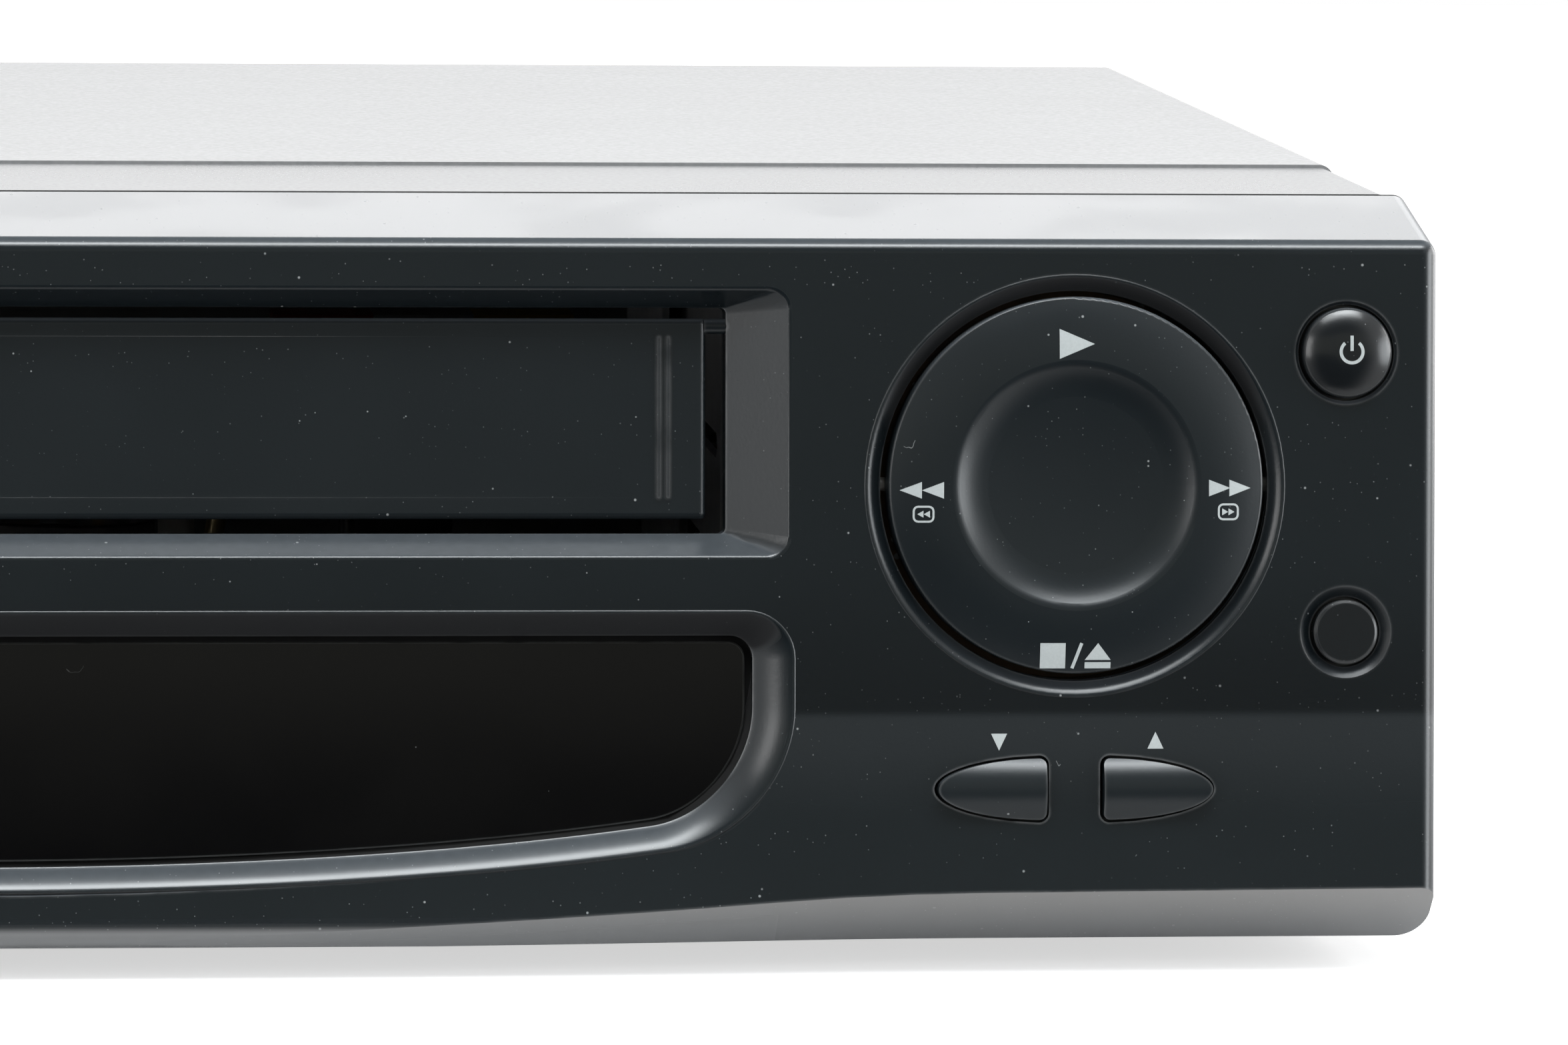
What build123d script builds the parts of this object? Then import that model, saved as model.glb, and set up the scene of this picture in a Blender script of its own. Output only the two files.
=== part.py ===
from build123d import *
import os
from math import asin, cos, degrees, hypot, radians, sin, tan

# A front-loading video cassette recorder. X is to the right, the front looks along -Y, Z is up.
# The origin is on the table, under the middle of the machine. All sizes are in millimetres.

# ---- Overall form
body_width = 380.0
body_depth = 310.0
body_height = 100.5
foot_height = 4.0
face_lean = 5.0  # degrees that the front face leans back
wall = 2.5  # moulded wall of the front bezel
running = 0.05  # radial clearance of a pin in its hole
free_gap = 0.3  # clearance between pieces that only pass each other

# ---- Front bezel
bezel_edge_drop = 4.9  # from the cover's top down to the front face's top edge
bezel_top_run = 25.0  # depth of the bezel's sloping top
bezel_corner = 2.0
bezel_foot_corner = 4.0
lip_reach = 6.0  # how far the bezel's rear lip goes under the cover
lip_wall = 1.6
strip_middle_z = 6.1  # top of the undercut strip in the middle of the front
strip_shoulder_x = 103.5
strip_shoulder_z = 10.1
strip_flat_x = 131.0
strip_flat_z = 11.25
strip_end_z = 11.8
strip_angle = 40.0  # slope of the undercut below the horizontal

# ---- Steel cover and tray
sheet = 1.0
cover_inset = 2.0  # the cover's sides stand inside the bezel's sides
cover_bend = 2.0
cover_foot_z = 6.0
cover_step = 0.45  # the front strip of the cover lies lower than the rest
cover_step_run = 50.0
tray_sheet = 1.2
tray_wall_z = 34.0
tray_gap = 0.8  # from the cover's inside to the tray's wall
rear_inset = 12.0  # the rear panel stands inside the cover's rear edge
screw_radius = 1.5
screw_head_radius = 3.8
screw_z = 16.0
foot_radius = 11.0
foot_inset = 40.0  # from the machine's sides to the middle of a foot
front_foot_run = 49.0  # from the front face's top edge to the middle of a front foot
rear_foot_run = 37.0
vent_length = 18.0
vent_width = 2.4
vent_pitch = 7.0
vent_count = 12
floor_vent_count = 6
floor_vent_y = -50.0
floor_vent_pitch = 8.0

# ---- Cassette slot and flap
cassette_width = 188.0
slot_play = 3.2  # from the cassette to each side of the opening
slot_low_z = 57.7
slot_high_z = 87.0
slot_splay_side = 7.9  # the recess widens by this much from the opening to the face
slot_splay_low = 2.8
slot_splay_high = 2.3
slot_depth = 5.0
slot_collar = 4.0  # depth of the square collar behind the recess
flap_gap_side = 2.6
flap_gap_low = 1.9
flap_gap_high = 1.4
flap_thick = 2.0
flap_rib_gaps = (6.1, 4.9)  # from the flap's end to its two ribs
flap_rib_low = 2.65
flap_rib_high = 2.3
flap_pin_radius = 1.0

# ---- Display window
window_top_z = 47.6
window_half = 105.6
window_low_z = 11.3
window_depth = 4.0
window_ledge = 0.4
glass_inset = 1.3
glass_gap = 0.15
glass_flange = 2.0
glass_flange_thick = 1.4
window_collar = 3.0

# ---- Transport dial
dial_z = 64.1
dial_radius = 24.5
dial_gap = 0.9
dial_flare = 1.9  # the recess round the dial widens by this much towards the face
dial_ring = 9.0  # width of the domed ring round the dished middle
dial_skirt = 4.0
gimbal_depth = 7.5
gimbal_clear = 3.5  # from the dial's rim in to the gimbal ring
gimbal_width = 3.0
gimbal_thick = 3.0
gimbal_pin_radius = 0.9
dial_post = 3.0  # thickness of a pivot post behind the dial
dial_post_gap = 1.0
pusher_inset = 3.5  # from the posts' inner faces to the pushers' middles
collar_wall = 3.1
crown_flat = 1.2  # radius of the level middle of a dome or dish

# ---- Buttons
button_inset = 12.0  # from the machine's side to the round buttons' middle line
button_spacing = 7.1  # from that line to the outside of the dial's collar
power_z = 81.3
power_radius = 5.9
record_z = 45.0
record_radius = 4.2
record_dish_radius = 6.0
button_gap = 0.4
button_hole_round = 0.45  # softened edge of the power button's hole
leaf_flat_x = 3.75  # the flat ends of the two channel buttons, from the dial's middle line
leaf_length = 14.2
leaf_half = 4.0
leaf_z = 24.7
leaf_corner = 0.9
button_travel = 1.0
button_flange = 1.3
stem_radius = 2.2

# ---- Front board
board_thick = 1.6
board_depth = 16.0  # face of the front board behind the front face
switch_side = 6.0
switch_height = 3.0
plunger_height = 0.8
plunger_radius = 1.7
switch_play = 0.3
board_low_z = 13.0
board_mid_z = 51.0
board_high_z = 91.0
tube_width = 130.0
tube_height = 24.0
tube_thick = 6.0
tube_z = 31.0

# ---- Boards on the tray
main_board_z = 8.0
board_split_x = -109.0  # the power board lies left of this line, the main board right of it

# ---- Rear panel
aerial_places = ((120.0, 62.0), (120.0, 42.0))
phono_places = tuple((x, z) for x in (58.0, 74.0, 90.0) for z in (38.0, 54.0))
inlet_inset = 40.0  # from the machine's side to the middle of the mains inlet
inlet_z = 30.0
inlet_half_width = 9.0
inlet_half_height = 5.0
inlet_pin_x = 3.3
inlet_well_radius = 4.0
panel_hole_gap = 0.5

# ---- Tape deck
deck_z = 22.0
deck_sheet = 1.6
deck_run = 155.0  # from the front face's foot back to the deck's own zero in Y
deck_overhang = 7.6  # from the loader's brackets out to the deck's sides
deck_front_y = -118.0
deck_rear_y = 112.0
deck_post_inset = 8.0
deck_post_radius = 4.0
load_travel = 66.0
seat_rise = 7.0  # from the deck's top to the holder's floor when the cassette is down
holder_front_y = -66.0
holder_rear_y = -6.0
holder_play = 2.4  # from the cassette to the outside of each holder wall
holder_sheet = 1.0
holder_low_z = 57.6
holder_high_z = 86.0
holder_lip = 13.0
holder_top_start = 18.0
holder_pin_radius = 1.5
front_pin_y = -51.0
front_pin_z = 66.0
rear_pin_y = -18.0
rear_pin_z = 76.0
bracket_gap = 2.0  # from the holder out to a bracket
bracket_sheet = 1.2
bracket_top_z = 88.0
slider_gap = 2.2  # from a bracket's inside to the slider's inside
slider_rail_z = 83.5
rail_pin_y = (-57.0, -47.0)
pin_overhang = 2.0  # from the slider's inside to a pin's end

reel_x = 46.0
reel_y = -64.0
reel_radius = 21.0
spindle_radius = 7.5
spindle_rise = 21.4
clutch_y = -30.0
idler_reach = 28.0
idler_radius = 11.0
capstan_x = 64.0
capstan_y = 16.0
capstan_radius = 2.0
flywheel_radius = 25.0
pulley_radius = 8.0
pulley_height = 3.2
belt_drop = 6.6  # from the deck down to the underside of the two pulleys
clutch_pulley_radius = 14.0
stator_post_angles = (35, 105, 306)
belt_thick = 1.0
drum_x = -4.0
drum_y = 36.0
drum_radius = 31.0
drum_tilt = 5.0
drum_shaft_radius = 3.0
guide_start = ((-34.0, -16.0), (30.0, -16.0))
guide_end = ((-50.0, 40.0), (44.0, 44.0))
guide_slot = 5.0
pinch_pivot = (82.0, 8.0)
pinch_rest = (63.5, -1.6)
pinch_roller_radius = 7.0
tension_pivot = (-80.0, 8.0)
tension_rest = (-60.0, -9.0)
cam_x = -66.0
cam_y = 78.0
cam_teeth = 36
cam_module = 1.0
cam_rise = 6.9
cam_thick = 6.0
arm_rise = 2.8  # from the deck's top to the underside of the pinch and tension arms
arm_thick = 1.6
pivot_rise = 6.4  # height of the pins that the two arms turn on
roller_rise = 9.4
roller_length = 16.0
tape_low_rise = 8.4  # the heads and rollers reach from about here
tape_high_rise = 26.4  # to here above the deck's top
worm_radius = 4.0
motor_radius = 9.0

# ---- Values worked out from the sizes above
half_width = body_width / 2
bezel_edge_z = body_height - bezel_edge_drop
front_y = -body_depth / 2
rear_y = body_depth / 2
lean_sin = sin(radians(face_lean))
lean_cos = cos(radians(face_lean))
lean_tan = tan(radians(face_lean))
edge_y = front_y + (bezel_edge_z - foot_height) * lean_tan
bezel_rear_y = edge_y + bezel_top_run
cover_front_y = bezel_rear_y + free_gap
cover_half = half_width - cover_inset
strip_top_z = body_height - cover_step
rear_panel_y = rear_y - rear_inset
tray_half = cover_half - sheet - tray_gap
tray_rear_y = rear_panel_y - 0.2
tray_floor_z = foot_height + tray_sheet
board_top_z = main_board_z + board_thick
board_front_y = cover_front_y + 9
board_rear_y = rear_panel_y - 12
foot_x = half_width - foot_inset
front_foot_y = edge_y + front_foot_run
rear_foot_y = rear_y - rear_foot_run
inlet_x = inlet_inset - half_width
slot_half = cassette_width / 2 + slot_play
button_x = half_width - button_inset
dial_bore = dial_radius + dial_gap
dial_recess_radius = dial_bore + dial_flare
dial_dish_radius = dial_radius - dial_ring
dial_x = button_x - button_spacing - collar_wall - dial_bore
gimbal_outer = dial_radius - gimbal_clear
gimbal_inner = gimbal_outer - gimbal_width
dial_post_outer = gimbal_inner - dial_post_gap
dial_post_inner = dial_post_outer - dial_post
pusher_radius = dial_post_inner - pusher_inset
deck_y = front_y + deck_run
deck_top_z = deck_z + deck_sheet
holder_half = cassette_width / 2 + holder_play
bracket_x = holder_half + bracket_gap
slider_x = bracket_x + slider_gap
pin_tip_x = slider_x + pin_overhang
deck_half = bracket_x + deck_overhang
deck_post_x = deck_half - deck_post_inset
pin_slot = holder_pin_radius + 0.2
drop_travel = holder_low_z - deck_top_z - seat_rise
spindle_top_z = deck_top_z + spindle_rise
capstan_belt_z = deck_z - belt_drop
cam_z = deck_top_z + cam_rise
tape_low_z = deck_top_z + tape_low_rise
tape_high_z = deck_top_z + tape_high_rise


# ---- Helpers
def face_plane(depth=0.0):
    """The plane of the leaning front face, moved straight back into the machine by depth."""
    foot = front_y - foot_height * lean_tan
    face = Plane(origin=(0, foot, 0), x_dir=(1, 0, 0), z_dir=(0, -lean_cos, lean_sin))
    return face.offset(-depth)


def up(z):
    """Distance up the leaning face to the height z."""
    return z / lean_cos


def sunk(sketch, near, far):
    """A solid under a sketch on the face, between two depths behind the face."""
    return face_plane(far) * extrude(sketch, amount=far - near, dir=(0, 0, 1))


def turned(points, x, z):
    """A solid turned about the line through x, z that stands square to the face.
    The points are (radius, height out of the face)."""
    profile = make_face(Polyline(*points, close=True))
    turned_shape = revolve(Plane.XZ * profile, axis=Axis.Z)
    return face_plane() * Pos(x, up(z), 0) * turned_shape


def crown(radius, edge, middle):
    """A round dome or dish in profile: an arc from its edge to the small level middle."""
    rise = middle - edge
    run = radius - crown_flat
    ball = (run**2 + rise**2) / (2 * abs(rise))
    half_angle = degrees(asin(run / ball))
    if rise > 0:
        arc = CenterArc((crown_flat, middle - ball), ball, 90, -half_angle)
    else:
        arc = CenterArc((crown_flat, middle + ball), ball, 270, half_angle)
    return [arc, Line((crown_flat, middle), (0, middle))]


def plug(x, z, radius, near, far):
    """A round solid square to the face, between two depths behind it."""
    return sunk(Pos(x, up(z)) * Circle(radius), near, far)


def block(x0, x1, y0, y1, z0, z1):
    """A rectangular solid between two opposite corners."""
    return Pos((x0 + x1) / 2, (y0 + y1) / 2, (z0 + z1) / 2) * Box(abs(x1 - x0), abs(y1 - y0), abs(z1 - z0))


def rod(x, y, z0, z1, radius):
    """An upright round solid."""
    return Pos(x, y, (z0 + z1) / 2) * Cylinder(radius, z1 - z0)


def rod_x(x0, x1, y, z, radius):
    """A round solid that lies along X."""
    return Pos((x0 + x1) / 2, y, z) * Rot(0, 90, 0) * Cylinder(radius, abs(x1 - x0))


def rod_y(x, y0, y1, z, radius):
    """A round solid that lies along Y."""
    return Pos(x, (y0 + y1) / 2, z) * Rot(90, 0, 0) * Cylinder(radius, y1 - y0)


def along_x(sketch, x0, x1):
    """A sketch in Y and Z drawn out from x0 to x1."""
    return Plane.YZ.offset(x0) * extrude(sketch, amount=x1 - x0, dir=(0, 0, 1))


def along_y(sketch, y0, y1):
    """A sketch in X and Z drawn out from y0 to y1."""
    return Plane.XZ.offset(-y1) * extrude(sketch, amount=y1 - y0, dir=(0, 0, 1))


def slab(sketch, z0, z1):
    """A sketch in X and Y drawn up from z0 to z1."""
    return Pos(0, 0, z0) * extrude(sketch, amount=z1 - z0, dir=(0, 0, 1))


def oblong(x0, y0, x1, y1, width):
    """A rounded slot outline between two centres."""
    length = hypot(x1 - x0, y1 - y0)
    angle = Vector(1, 0, 0).get_signed_angle(Vector(x1 - x0, y1 - y0, 0), Vector(0, 0, 1))
    return Pos((x0 + x1) / 2, (y0 + y1) / 2) * Rot(0, 0, angle) * SlotCenterToCenter(length, width)


def frame_rectangle(low_z, high_z, half, corner):
    """A rounded rectangle on the face, centred on the machine."""
    height = up(high_z) - up(low_z)
    return Pos(0, (up(high_z) + up(low_z)) / 2) * RectangleRounded(2 * half, height, corner)


def window_outline(inset_side, inset_top, inset_low):
    """The display window's outline: a straight top, rounded sides and a bottom that sags."""
    side = window_half - inset_side
    top = up(window_top_z - inset_top)
    low = up(window_low_z + inset_low)
    sag = 6.0
    corner = 5.8 - 0.7 * inset_side
    shoulder = side - 3.4
    heel = side - 14.6 + 0.7 * inset_side
    start = (side - corner, top)
    turn = (side, top - 1.2 * corner)
    right = [
        Line((0, top), start),
        ThreePointArc(start, (side - 0.29 * corner, top - 0.34 * corner), turn),
        ThreePointArc(turn, (side - 0.7, low + 21.0), (shoulder, low + 13.3)),
        ThreePointArc((shoulder, low + 13.3), (side - 7.9, low + 8.7), (heel, low + sag)),
    ]
    left = [mirror(edge, about=Plane.YZ) for edge in right]
    floor = ThreePointArc((heel, low + sag), (0, low), (-heel, low + sag))
    return make_face(Curve() + right + left + floor)


def leaf(sign, grow=0.0):
    """A channel button's outline: half a leaf, flat towards the dial's middle line."""
    flat = dial_x + sign * (leaf_flat_x - grow)
    length = leaf_length + 2 * grow
    whole = Ellipse(length, leaf_half + grow)
    keep = Pos(sign * length / 2, 0) * Rectangle(length, 3 * leaf_half)
    half = fillet((whole & keep).vertices(), leaf_corner + grow)
    return Pos(flat, up(leaf_z)) * half


def flanged_button(cap, outline, flange_outline, stem_at):
    """A push button: its cap, a flange behind the wall that keeps it in, and a stem to the switch."""
    flange_near = wall + 0.7
    flange_far = flange_near + 1.0
    stem_end = board_depth - switch_height - plunger_height - button_travel - switch_play
    body = sunk(outline, 0, flange_near)
    flange = sunk(flange_outline, flange_near, flange_far)
    stem = plug(stem_at[0], stem_at[1], stem_radius, flange_far, stem_end)
    return cap + body + flange + stem


# ---- Front: bezel
def strip_cutter():
    """The wedge that is cut away under the smile-shaped line, running back and down."""
    run = 1.1 * half_width
    low = -2 * foot_height
    end = (half_width, up(strip_end_z))
    flat = (strip_flat_x, up(strip_flat_z))
    shoulder = (strip_shoulder_x, up(strip_shoulder_z))
    bend = ((flat[0] + shoulder[0]) / 2, (flat[1] + shoulder[1]) / 2 + 0.24)
    right = [
        ThreePointArc(shoulder, bend, flat),
        Line(flat, (run, end[1])),
        Line((run, end[1]), (run, low)),
    ]
    left = [mirror(edge, about=Plane.YZ) for edge in right]
    middle = ThreePointArc(shoulder, (0, up(strip_middle_z)), (-shoulder[0], shoulder[1]))
    base = Line((-run, low), (run, low))
    under = make_face(Curve() + right + left + middle + base)
    slope = radians(strip_angle)
    return extrude(face_plane() * under, amount=40, dir=(0, cos(slope), -sin(slope)))


def bezel_block():
    """The bezel's outside: a leaning front, a sloping top, and rounded edges."""
    outline = Polyline(
        (front_y, foot_height),
        (edge_y, bezel_edge_z),
        (bezel_rear_y, strip_top_z),
        (bezel_rear_y, foot_height),
        close=True,
    )
    body = along_x(make_face(outline), -half_width, half_width)
    raised = [e for e in body.edges() if e.center().Z > foot_height + 1]
    sides = [e for e in raised if abs(abs(e.center().X) - half_width) < 0.1 and e.center().Y < bezel_rear_y - 1]
    front_top = [e for e in raised if abs(e.center().Y - edge_y) < 0.1]
    body = fillet(sides + front_top, bezel_corner)
    lower = [
        e
        for e in body.edges()
        if abs(abs(e.center().X) - half_width) < 0.1
        and abs(e.center().Z - foot_height) < 0.1
        and e.length > bezel_top_run / 2
    ]
    return fillet(lower, bezel_foot_corner)


def bezel_cavity():
    """The hollow behind the front wall, open to the rear, with a sloping toe above the undercut."""
    inner_edge_z = bezel_edge_z - wall
    toe_z = strip_end_z + wall
    toe_y = front_y + (toe_z - foot_height) * lean_tan + wall
    floor_z = foot_height + 2.0
    outline = Polyline(
        (toe_y, toe_z),
        (edge_y + wall, inner_edge_z),
        (bezel_rear_y + 1, strip_top_z - wall),
        (bezel_rear_y + 1, floor_z),
        (toe_y + 10.0, floor_z),
        close=True,
    )
    return along_x(make_face(outline), -half_width + wall, half_width - wall)


def bezel_lip():
    """The thin rim at the bezel's rear that goes under the cover's front edge."""
    half = cover_half - sheet - free_gap
    top = strip_top_z - sheet - free_gap
    low = tray_wall_z + 4.0
    outer = Pos(0, (top + low) / 2) * Rectangle(2 * half, top - low)
    inner = Pos(0, (top + low) / 2 - lip_wall) * Rectangle(2 * (half - lip_wall), top - low)
    return along_y(outer - inner, bezel_rear_y - wall, bezel_rear_y + lip_reach)


def slot_outlines():
    """The slot recess at the face, and the opening at its floor."""
    outer = frame_rectangle(
        slot_low_z - slot_splay_low, slot_high_z + slot_splay_high, slot_half + slot_splay_side, 2.5
    )
    inner = frame_rectangle(slot_low_z, slot_high_z, slot_half, 0.8)
    return outer, inner


def recess(outer, inner, depth, through):
    """A splayed recess, and the straight opening behind it."""
    splay = loft([face_plane() * outer, face_plane(depth) * inner])
    return splay + sunk(outer, -3, 0) + sunk(inner, depth, through)


def front_bezel():
    """The moulded front with its recesses, openings and collars."""
    slot_outer, slot_inner = slot_outlines()
    window_outer = window_outline(0, 0, 0)
    window_inner = window_outline(4.9, 3.0, 3.9)
    glass_hole = offset(window_inner, -glass_inset + glass_gap, kind=Kind.ARC)
    slot_back = slot_depth + slot_collar
    window_back = window_depth + window_collar
    collar_out = dial_bore + collar_wall
    collar_back = gimbal_depth + 3.5
    body = bezel_block() - bezel_cavity()
    body += bezel_lip()
    body += sunk(offset(slot_outer, 2.0, kind=Kind.ARC), wall - 0.5, slot_back)
    body += sunk(offset(window_outer, 1.5, kind=Kind.ARC), wall - 0.5, window_back)
    body += plug(dial_x, dial_z, collar_out, wall - 0.5, collar_back)
    body -= recess(slot_outer, slot_inner, slot_depth, slot_back + 1)
    body -= recess(window_outer, window_inner, window_depth, window_depth + window_ledge)
    body -= sunk(glass_hole, window_depth, window_back + 1)
    body -= turned(
        [
            (0, 3),
            (dial_recess_radius, 3),
            (dial_recess_radius, 0),
            (dial_bore, -2.5),
            (dial_bore, -collar_back - 1),
            (0, -collar_back - 1),
        ],
        dial_x,
        dial_z,
    )
    hole = power_radius + button_gap
    soft = hole + button_hole_round
    body -= turned(
        [(0, 1), (soft, 1), (soft, 0), (hole, -button_hole_round), (hole, -wall - 1), (0, -wall - 1)],
        button_x,
        power_z,
    )
    dish = record_dish_radius
    hole = record_radius + button_gap
    body -= turned([(0, 1), (dish, 1), (dish, 0), (hole, -1.1), (0, -1.1)], button_x, record_z)
    body -= plug(button_x, record_z, hole, -1, wall + 1)
    for sign in (-1, 1):
        body -= sunk(leaf(sign, button_gap), -1, wall + 1)
        pin_z = slot_high_z - flap_gap_high - flap_thick / 2
        hole = face_plane(slot_depth + flap_thick / 2) * Pos(sign * (slot_half + 1.0), up(pin_z), 0)
        body -= hole * Rot(0, 90, 0) * Cylinder(flap_pin_radius + running, 4.4)
        gimbal_hole = face_plane(gimbal_depth) * Pos(dial_x + sign * (dial_bore + 1.0), up(dial_z), 0)
        body -= gimbal_hole * Rot(0, 90, 0) * Cylinder(gimbal_pin_radius + running, 4.0)
    body -= strip_cutter()
    rims = [
        e
        for e in body.edges()
        if all(abs(face_plane().to_local_coords(e @ t).Z) < 0.01 for t in (0, 0.5, 1))
        and abs(e.center().X) < slot_half + slot_splay_side + 5
        and e.center().Z > strip_end_z + 0.05
        and e.center().X < dial_x - dial_recess_radius + 5
    ]
    return fillet(rims, 0.7)


def flap():
    """The cassette flap: a panel with a rounded hinge edge, two fine ribs at each end, and its pins."""
    low = slot_low_z + flap_gap_low
    high = slot_high_z - flap_gap_high
    half = slot_half - flap_gap_side
    near = slot_depth
    far = slot_depth + flap_thick
    panel = sunk(frame_rectangle(low, high, half, 0.6), near, far)
    panel = fillet(panel.edges().filter_by(Axis.X), 0.8)
    middle = face_plane(slot_depth + flap_thick / 2)
    pin_v = up(high - flap_thick / 2)
    rib_low = low + flap_rib_low
    rib_high = high - flap_rib_high
    for sign in (-1, 1):
        for gap in flap_rib_gaps:
            x = sign * (half - gap)
            rib = Pos(x, up((rib_low + rib_high) / 2)) * RectangleRounded(0.5, rib_high - rib_low, 0.2)
            panel += sunk(rib, near - 0.35, near + 0.2)
        pin = middle * Pos(sign * (half + 2.1), pin_v, 0) * Rot(0, 90, 0)
        panel += pin * Cylinder(flap_pin_radius, 4.6)
    return panel


def display_window():
    """The dark window: its face stands in the frame, and its flange lies behind."""
    inner = window_outline(4.9, 3.0, 3.9)
    face_outline = offset(inner, -glass_inset, kind=Kind.ARC)
    flange = offset(inner, glass_flange, kind=Kind.ARC)
    back = window_depth + window_collar
    glass = sunk(face_outline, window_depth - 0.5, back)
    rim = [e for e in glass.edges() if abs(face_plane(window_depth - 0.5).to_local_coords(e @ 0.5).Z) < 0.01]
    glass = fillet(rim, 0.3)
    return glass + sunk(flange, back, back + glass_flange_thick)


def dial():
    """The transport dial: a domed ring round a dished middle, with pivot posts and four pushers behind.
    The dome, the dish's soft edge and its bowl are arcs that run on from one another."""
    rim = dial_radius
    dish = dial_dish_radius
    crest = (dish + 0.8, 2.35)
    bowl = 11.5
    brow = (dish - 0.15, 2.1)
    profile = [
        Line((0, 0.55), (0, -dial_skirt)),
        Line((0, -dial_skirt), (rim, -dial_skirt)),
        Line((rim, -dial_skirt), (rim, 0.75)),
        ThreePointArc((rim, 0.75), (rim - 0.09, 1.04), (rim - 0.4, 1.2)),
        ThreePointArc((rim - 0.4, 1.2), ((rim + dish) / 2 + 0.2, 2.05), crest),
        ThreePointArc(crest, (dish + 0.3, 2.28), brow),
        ThreePointArc(brow, (dish - 1.8, 1.38), (bowl, 0.93)),
    ]
    profile += crown(bowl, 0.93, 0.55)
    cap = revolve(Plane.XZ * make_face(Curve() + profile), axis=Axis.Z)
    cap -= Pos(0, 0, -dial_skirt - 0.1) * Cylinder(rim - 2.0, 4.2)
    body = face_plane() * Pos(dial_x, up(dial_z), 0) * cap
    pusher_end = board_depth - switch_height - plunger_height - 0.5 - switch_play
    for sign in (-1, 1):
        middle = up(dial_z) + sign * (dial_post_inner + dial_post_outer) / 2
        post = Pos(dial_x, middle) * Rectangle(5.0, dial_post_outer - dial_post_inner)
        body += sunk(post, 1.5, gimbal_depth + 1.4)
        pin_length = gimbal_outer - dial_post_outer - 1.0
        centre = up(dial_z) + sign * (dial_post_outer + pin_length / 2)
        pin = face_plane(gimbal_depth) * Pos(dial_x, centre, 0) * Rot(90, 0, 0)
        body += pin * Cylinder(gimbal_pin_radius, pin_length)
        body += sunk(Pos(dial_x + sign * pusher_radius, up(dial_z)) * Circle(1.6), 1.5, pusher_end)
        body += sunk(Pos(dial_x, up(dial_z) + sign * pusher_radius) * Circle(1.6), 1.5, pusher_end)
    return body


def gimbal():
    """The ring that carries the dial: it tilts on two side pins, and the dial tilts in it."""
    centre = Pos(dial_x, up(dial_z))
    near = gimbal_depth - gimbal_thick / 2
    far = gimbal_depth + gimbal_thick / 2
    ring = sunk(centre * (Circle(gimbal_outer) - Circle(gimbal_inner)), near, far)
    through = face_plane(gimbal_depth) * Pos(dial_x, up(dial_z), 0)
    ring -= through * Rot(90, 0, 0) * Cylinder(gimbal_pin_radius + running, 3 * gimbal_outer)
    for sign in (-1, 1):
        pin_end = dial_bore + 1.4
        length = pin_end - gimbal_outer + 0.5
        pin = Rot(0, 90, 0) * Cylinder(gimbal_pin_radius, length)
        ring += through * Pos(sign * (pin_end - length / 2), 0, 0) * pin
    return ring


def power_button():
    """The round power button with a domed cap."""
    r = power_radius
    profile = [
        Line((0, 2.4), (0, -1)),
        Line((0, -1), (r, -1)),
        Line((r, -1), (r, 0.5)),
        ThreePointArc((r, 0.5), (r - 0.12, 0.92), (r - 0.5, 1.25)),
    ]
    profile += crown(r - 0.5, 1.25, 2.4)
    cap = revolve(Plane.XZ * make_face(Curve() + profile), axis=Axis.Z)
    cap = face_plane() * Pos(button_x, up(power_z), 0) * cap
    at = Pos(button_x, up(power_z))
    return flanged_button(cap, at * Circle(r), at * Circle(r + button_flange), (button_x, power_z))


def record_button():
    """The small flat record button in its dish."""
    r = record_radius
    rounded = [(r, -0.1), (r - 0.12, 0.17), (r - 0.4, 0.3)]
    cap = turned([(0, -1), (r, -1), *rounded, (0, 0.3)], button_x, record_z)
    at = Pos(button_x, up(record_z))
    return flanged_button(cap, at * Circle(r), at * Circle(r + button_flange), (button_x, record_z))


def channel_button(sign):
    """A half-leaf channel button, rounded over from top to bottom."""
    outline = leaf(sign)
    crown = 1.9
    edge = 0.4
    barrel = ((leaf_half**2) + (crown - edge) ** 2) / (2 * (crown - edge))
    stock = sunk(outline, -crown - 1, 0)
    middle = dial_x + sign * (leaf_flat_x + leaf_length / 2)
    over = face_plane(barrel - crown) * Pos(middle, up(leaf_z), 0) * Rot(0, 90, 0)
    cap = stock & (over * Cylinder(barrel, 2 * leaf_length))
    stem_x = dial_x + sign * (leaf_flat_x + 0.38 * leaf_length)
    return flanged_button(cap, outline, leaf(sign, button_flange), (stem_x, leaf_z))


# ---- Front: board
def switch_places():
    """Where the switches stand: four under the dial, and one under each button's stem."""
    places = [(button_x, power_z), (button_x, record_z)]
    for sign in (-1, 1):
        places.append((dial_x + sign * pusher_radius, dial_z))
        places.append((dial_x, dial_z + sign * pusher_radius * lean_cos))
        places.append((dial_x + sign * (leaf_flat_x + 0.38 * leaf_length), leaf_z))
    return places


def front_board():
    """The circuit board behind the front: low behind the window, tall behind the dial."""
    left = -window_half + 3
    right = half_width - wall - 2.0
    tall = dial_x - dial_radius - 5.5
    low = Pos((left + right) / 2, up((board_low_z + board_mid_z) / 2)) * Rectangle(
        right - left, up(board_mid_z - board_low_z)
    )
    high = Pos((tall + right) / 2, up((board_low_z + board_high_z) / 2)) * Rectangle(
        right - tall, up(board_high_z - board_low_z)
    )
    return sunk(low + high, board_depth, board_depth + board_thick)


def tact_switches():
    """One small push switch for each button and each side of the dial."""
    switches = []
    for x, z in switch_places():
        at = Pos(x, up(z))
        near = board_depth - switch_height
        body = sunk(at * RectangleRounded(switch_side, switch_side, 0.5), near, board_depth)
        switches.append(body + plug(x, z, plunger_radius, near - plunger_height, near))
    return Compound(switches)


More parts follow.
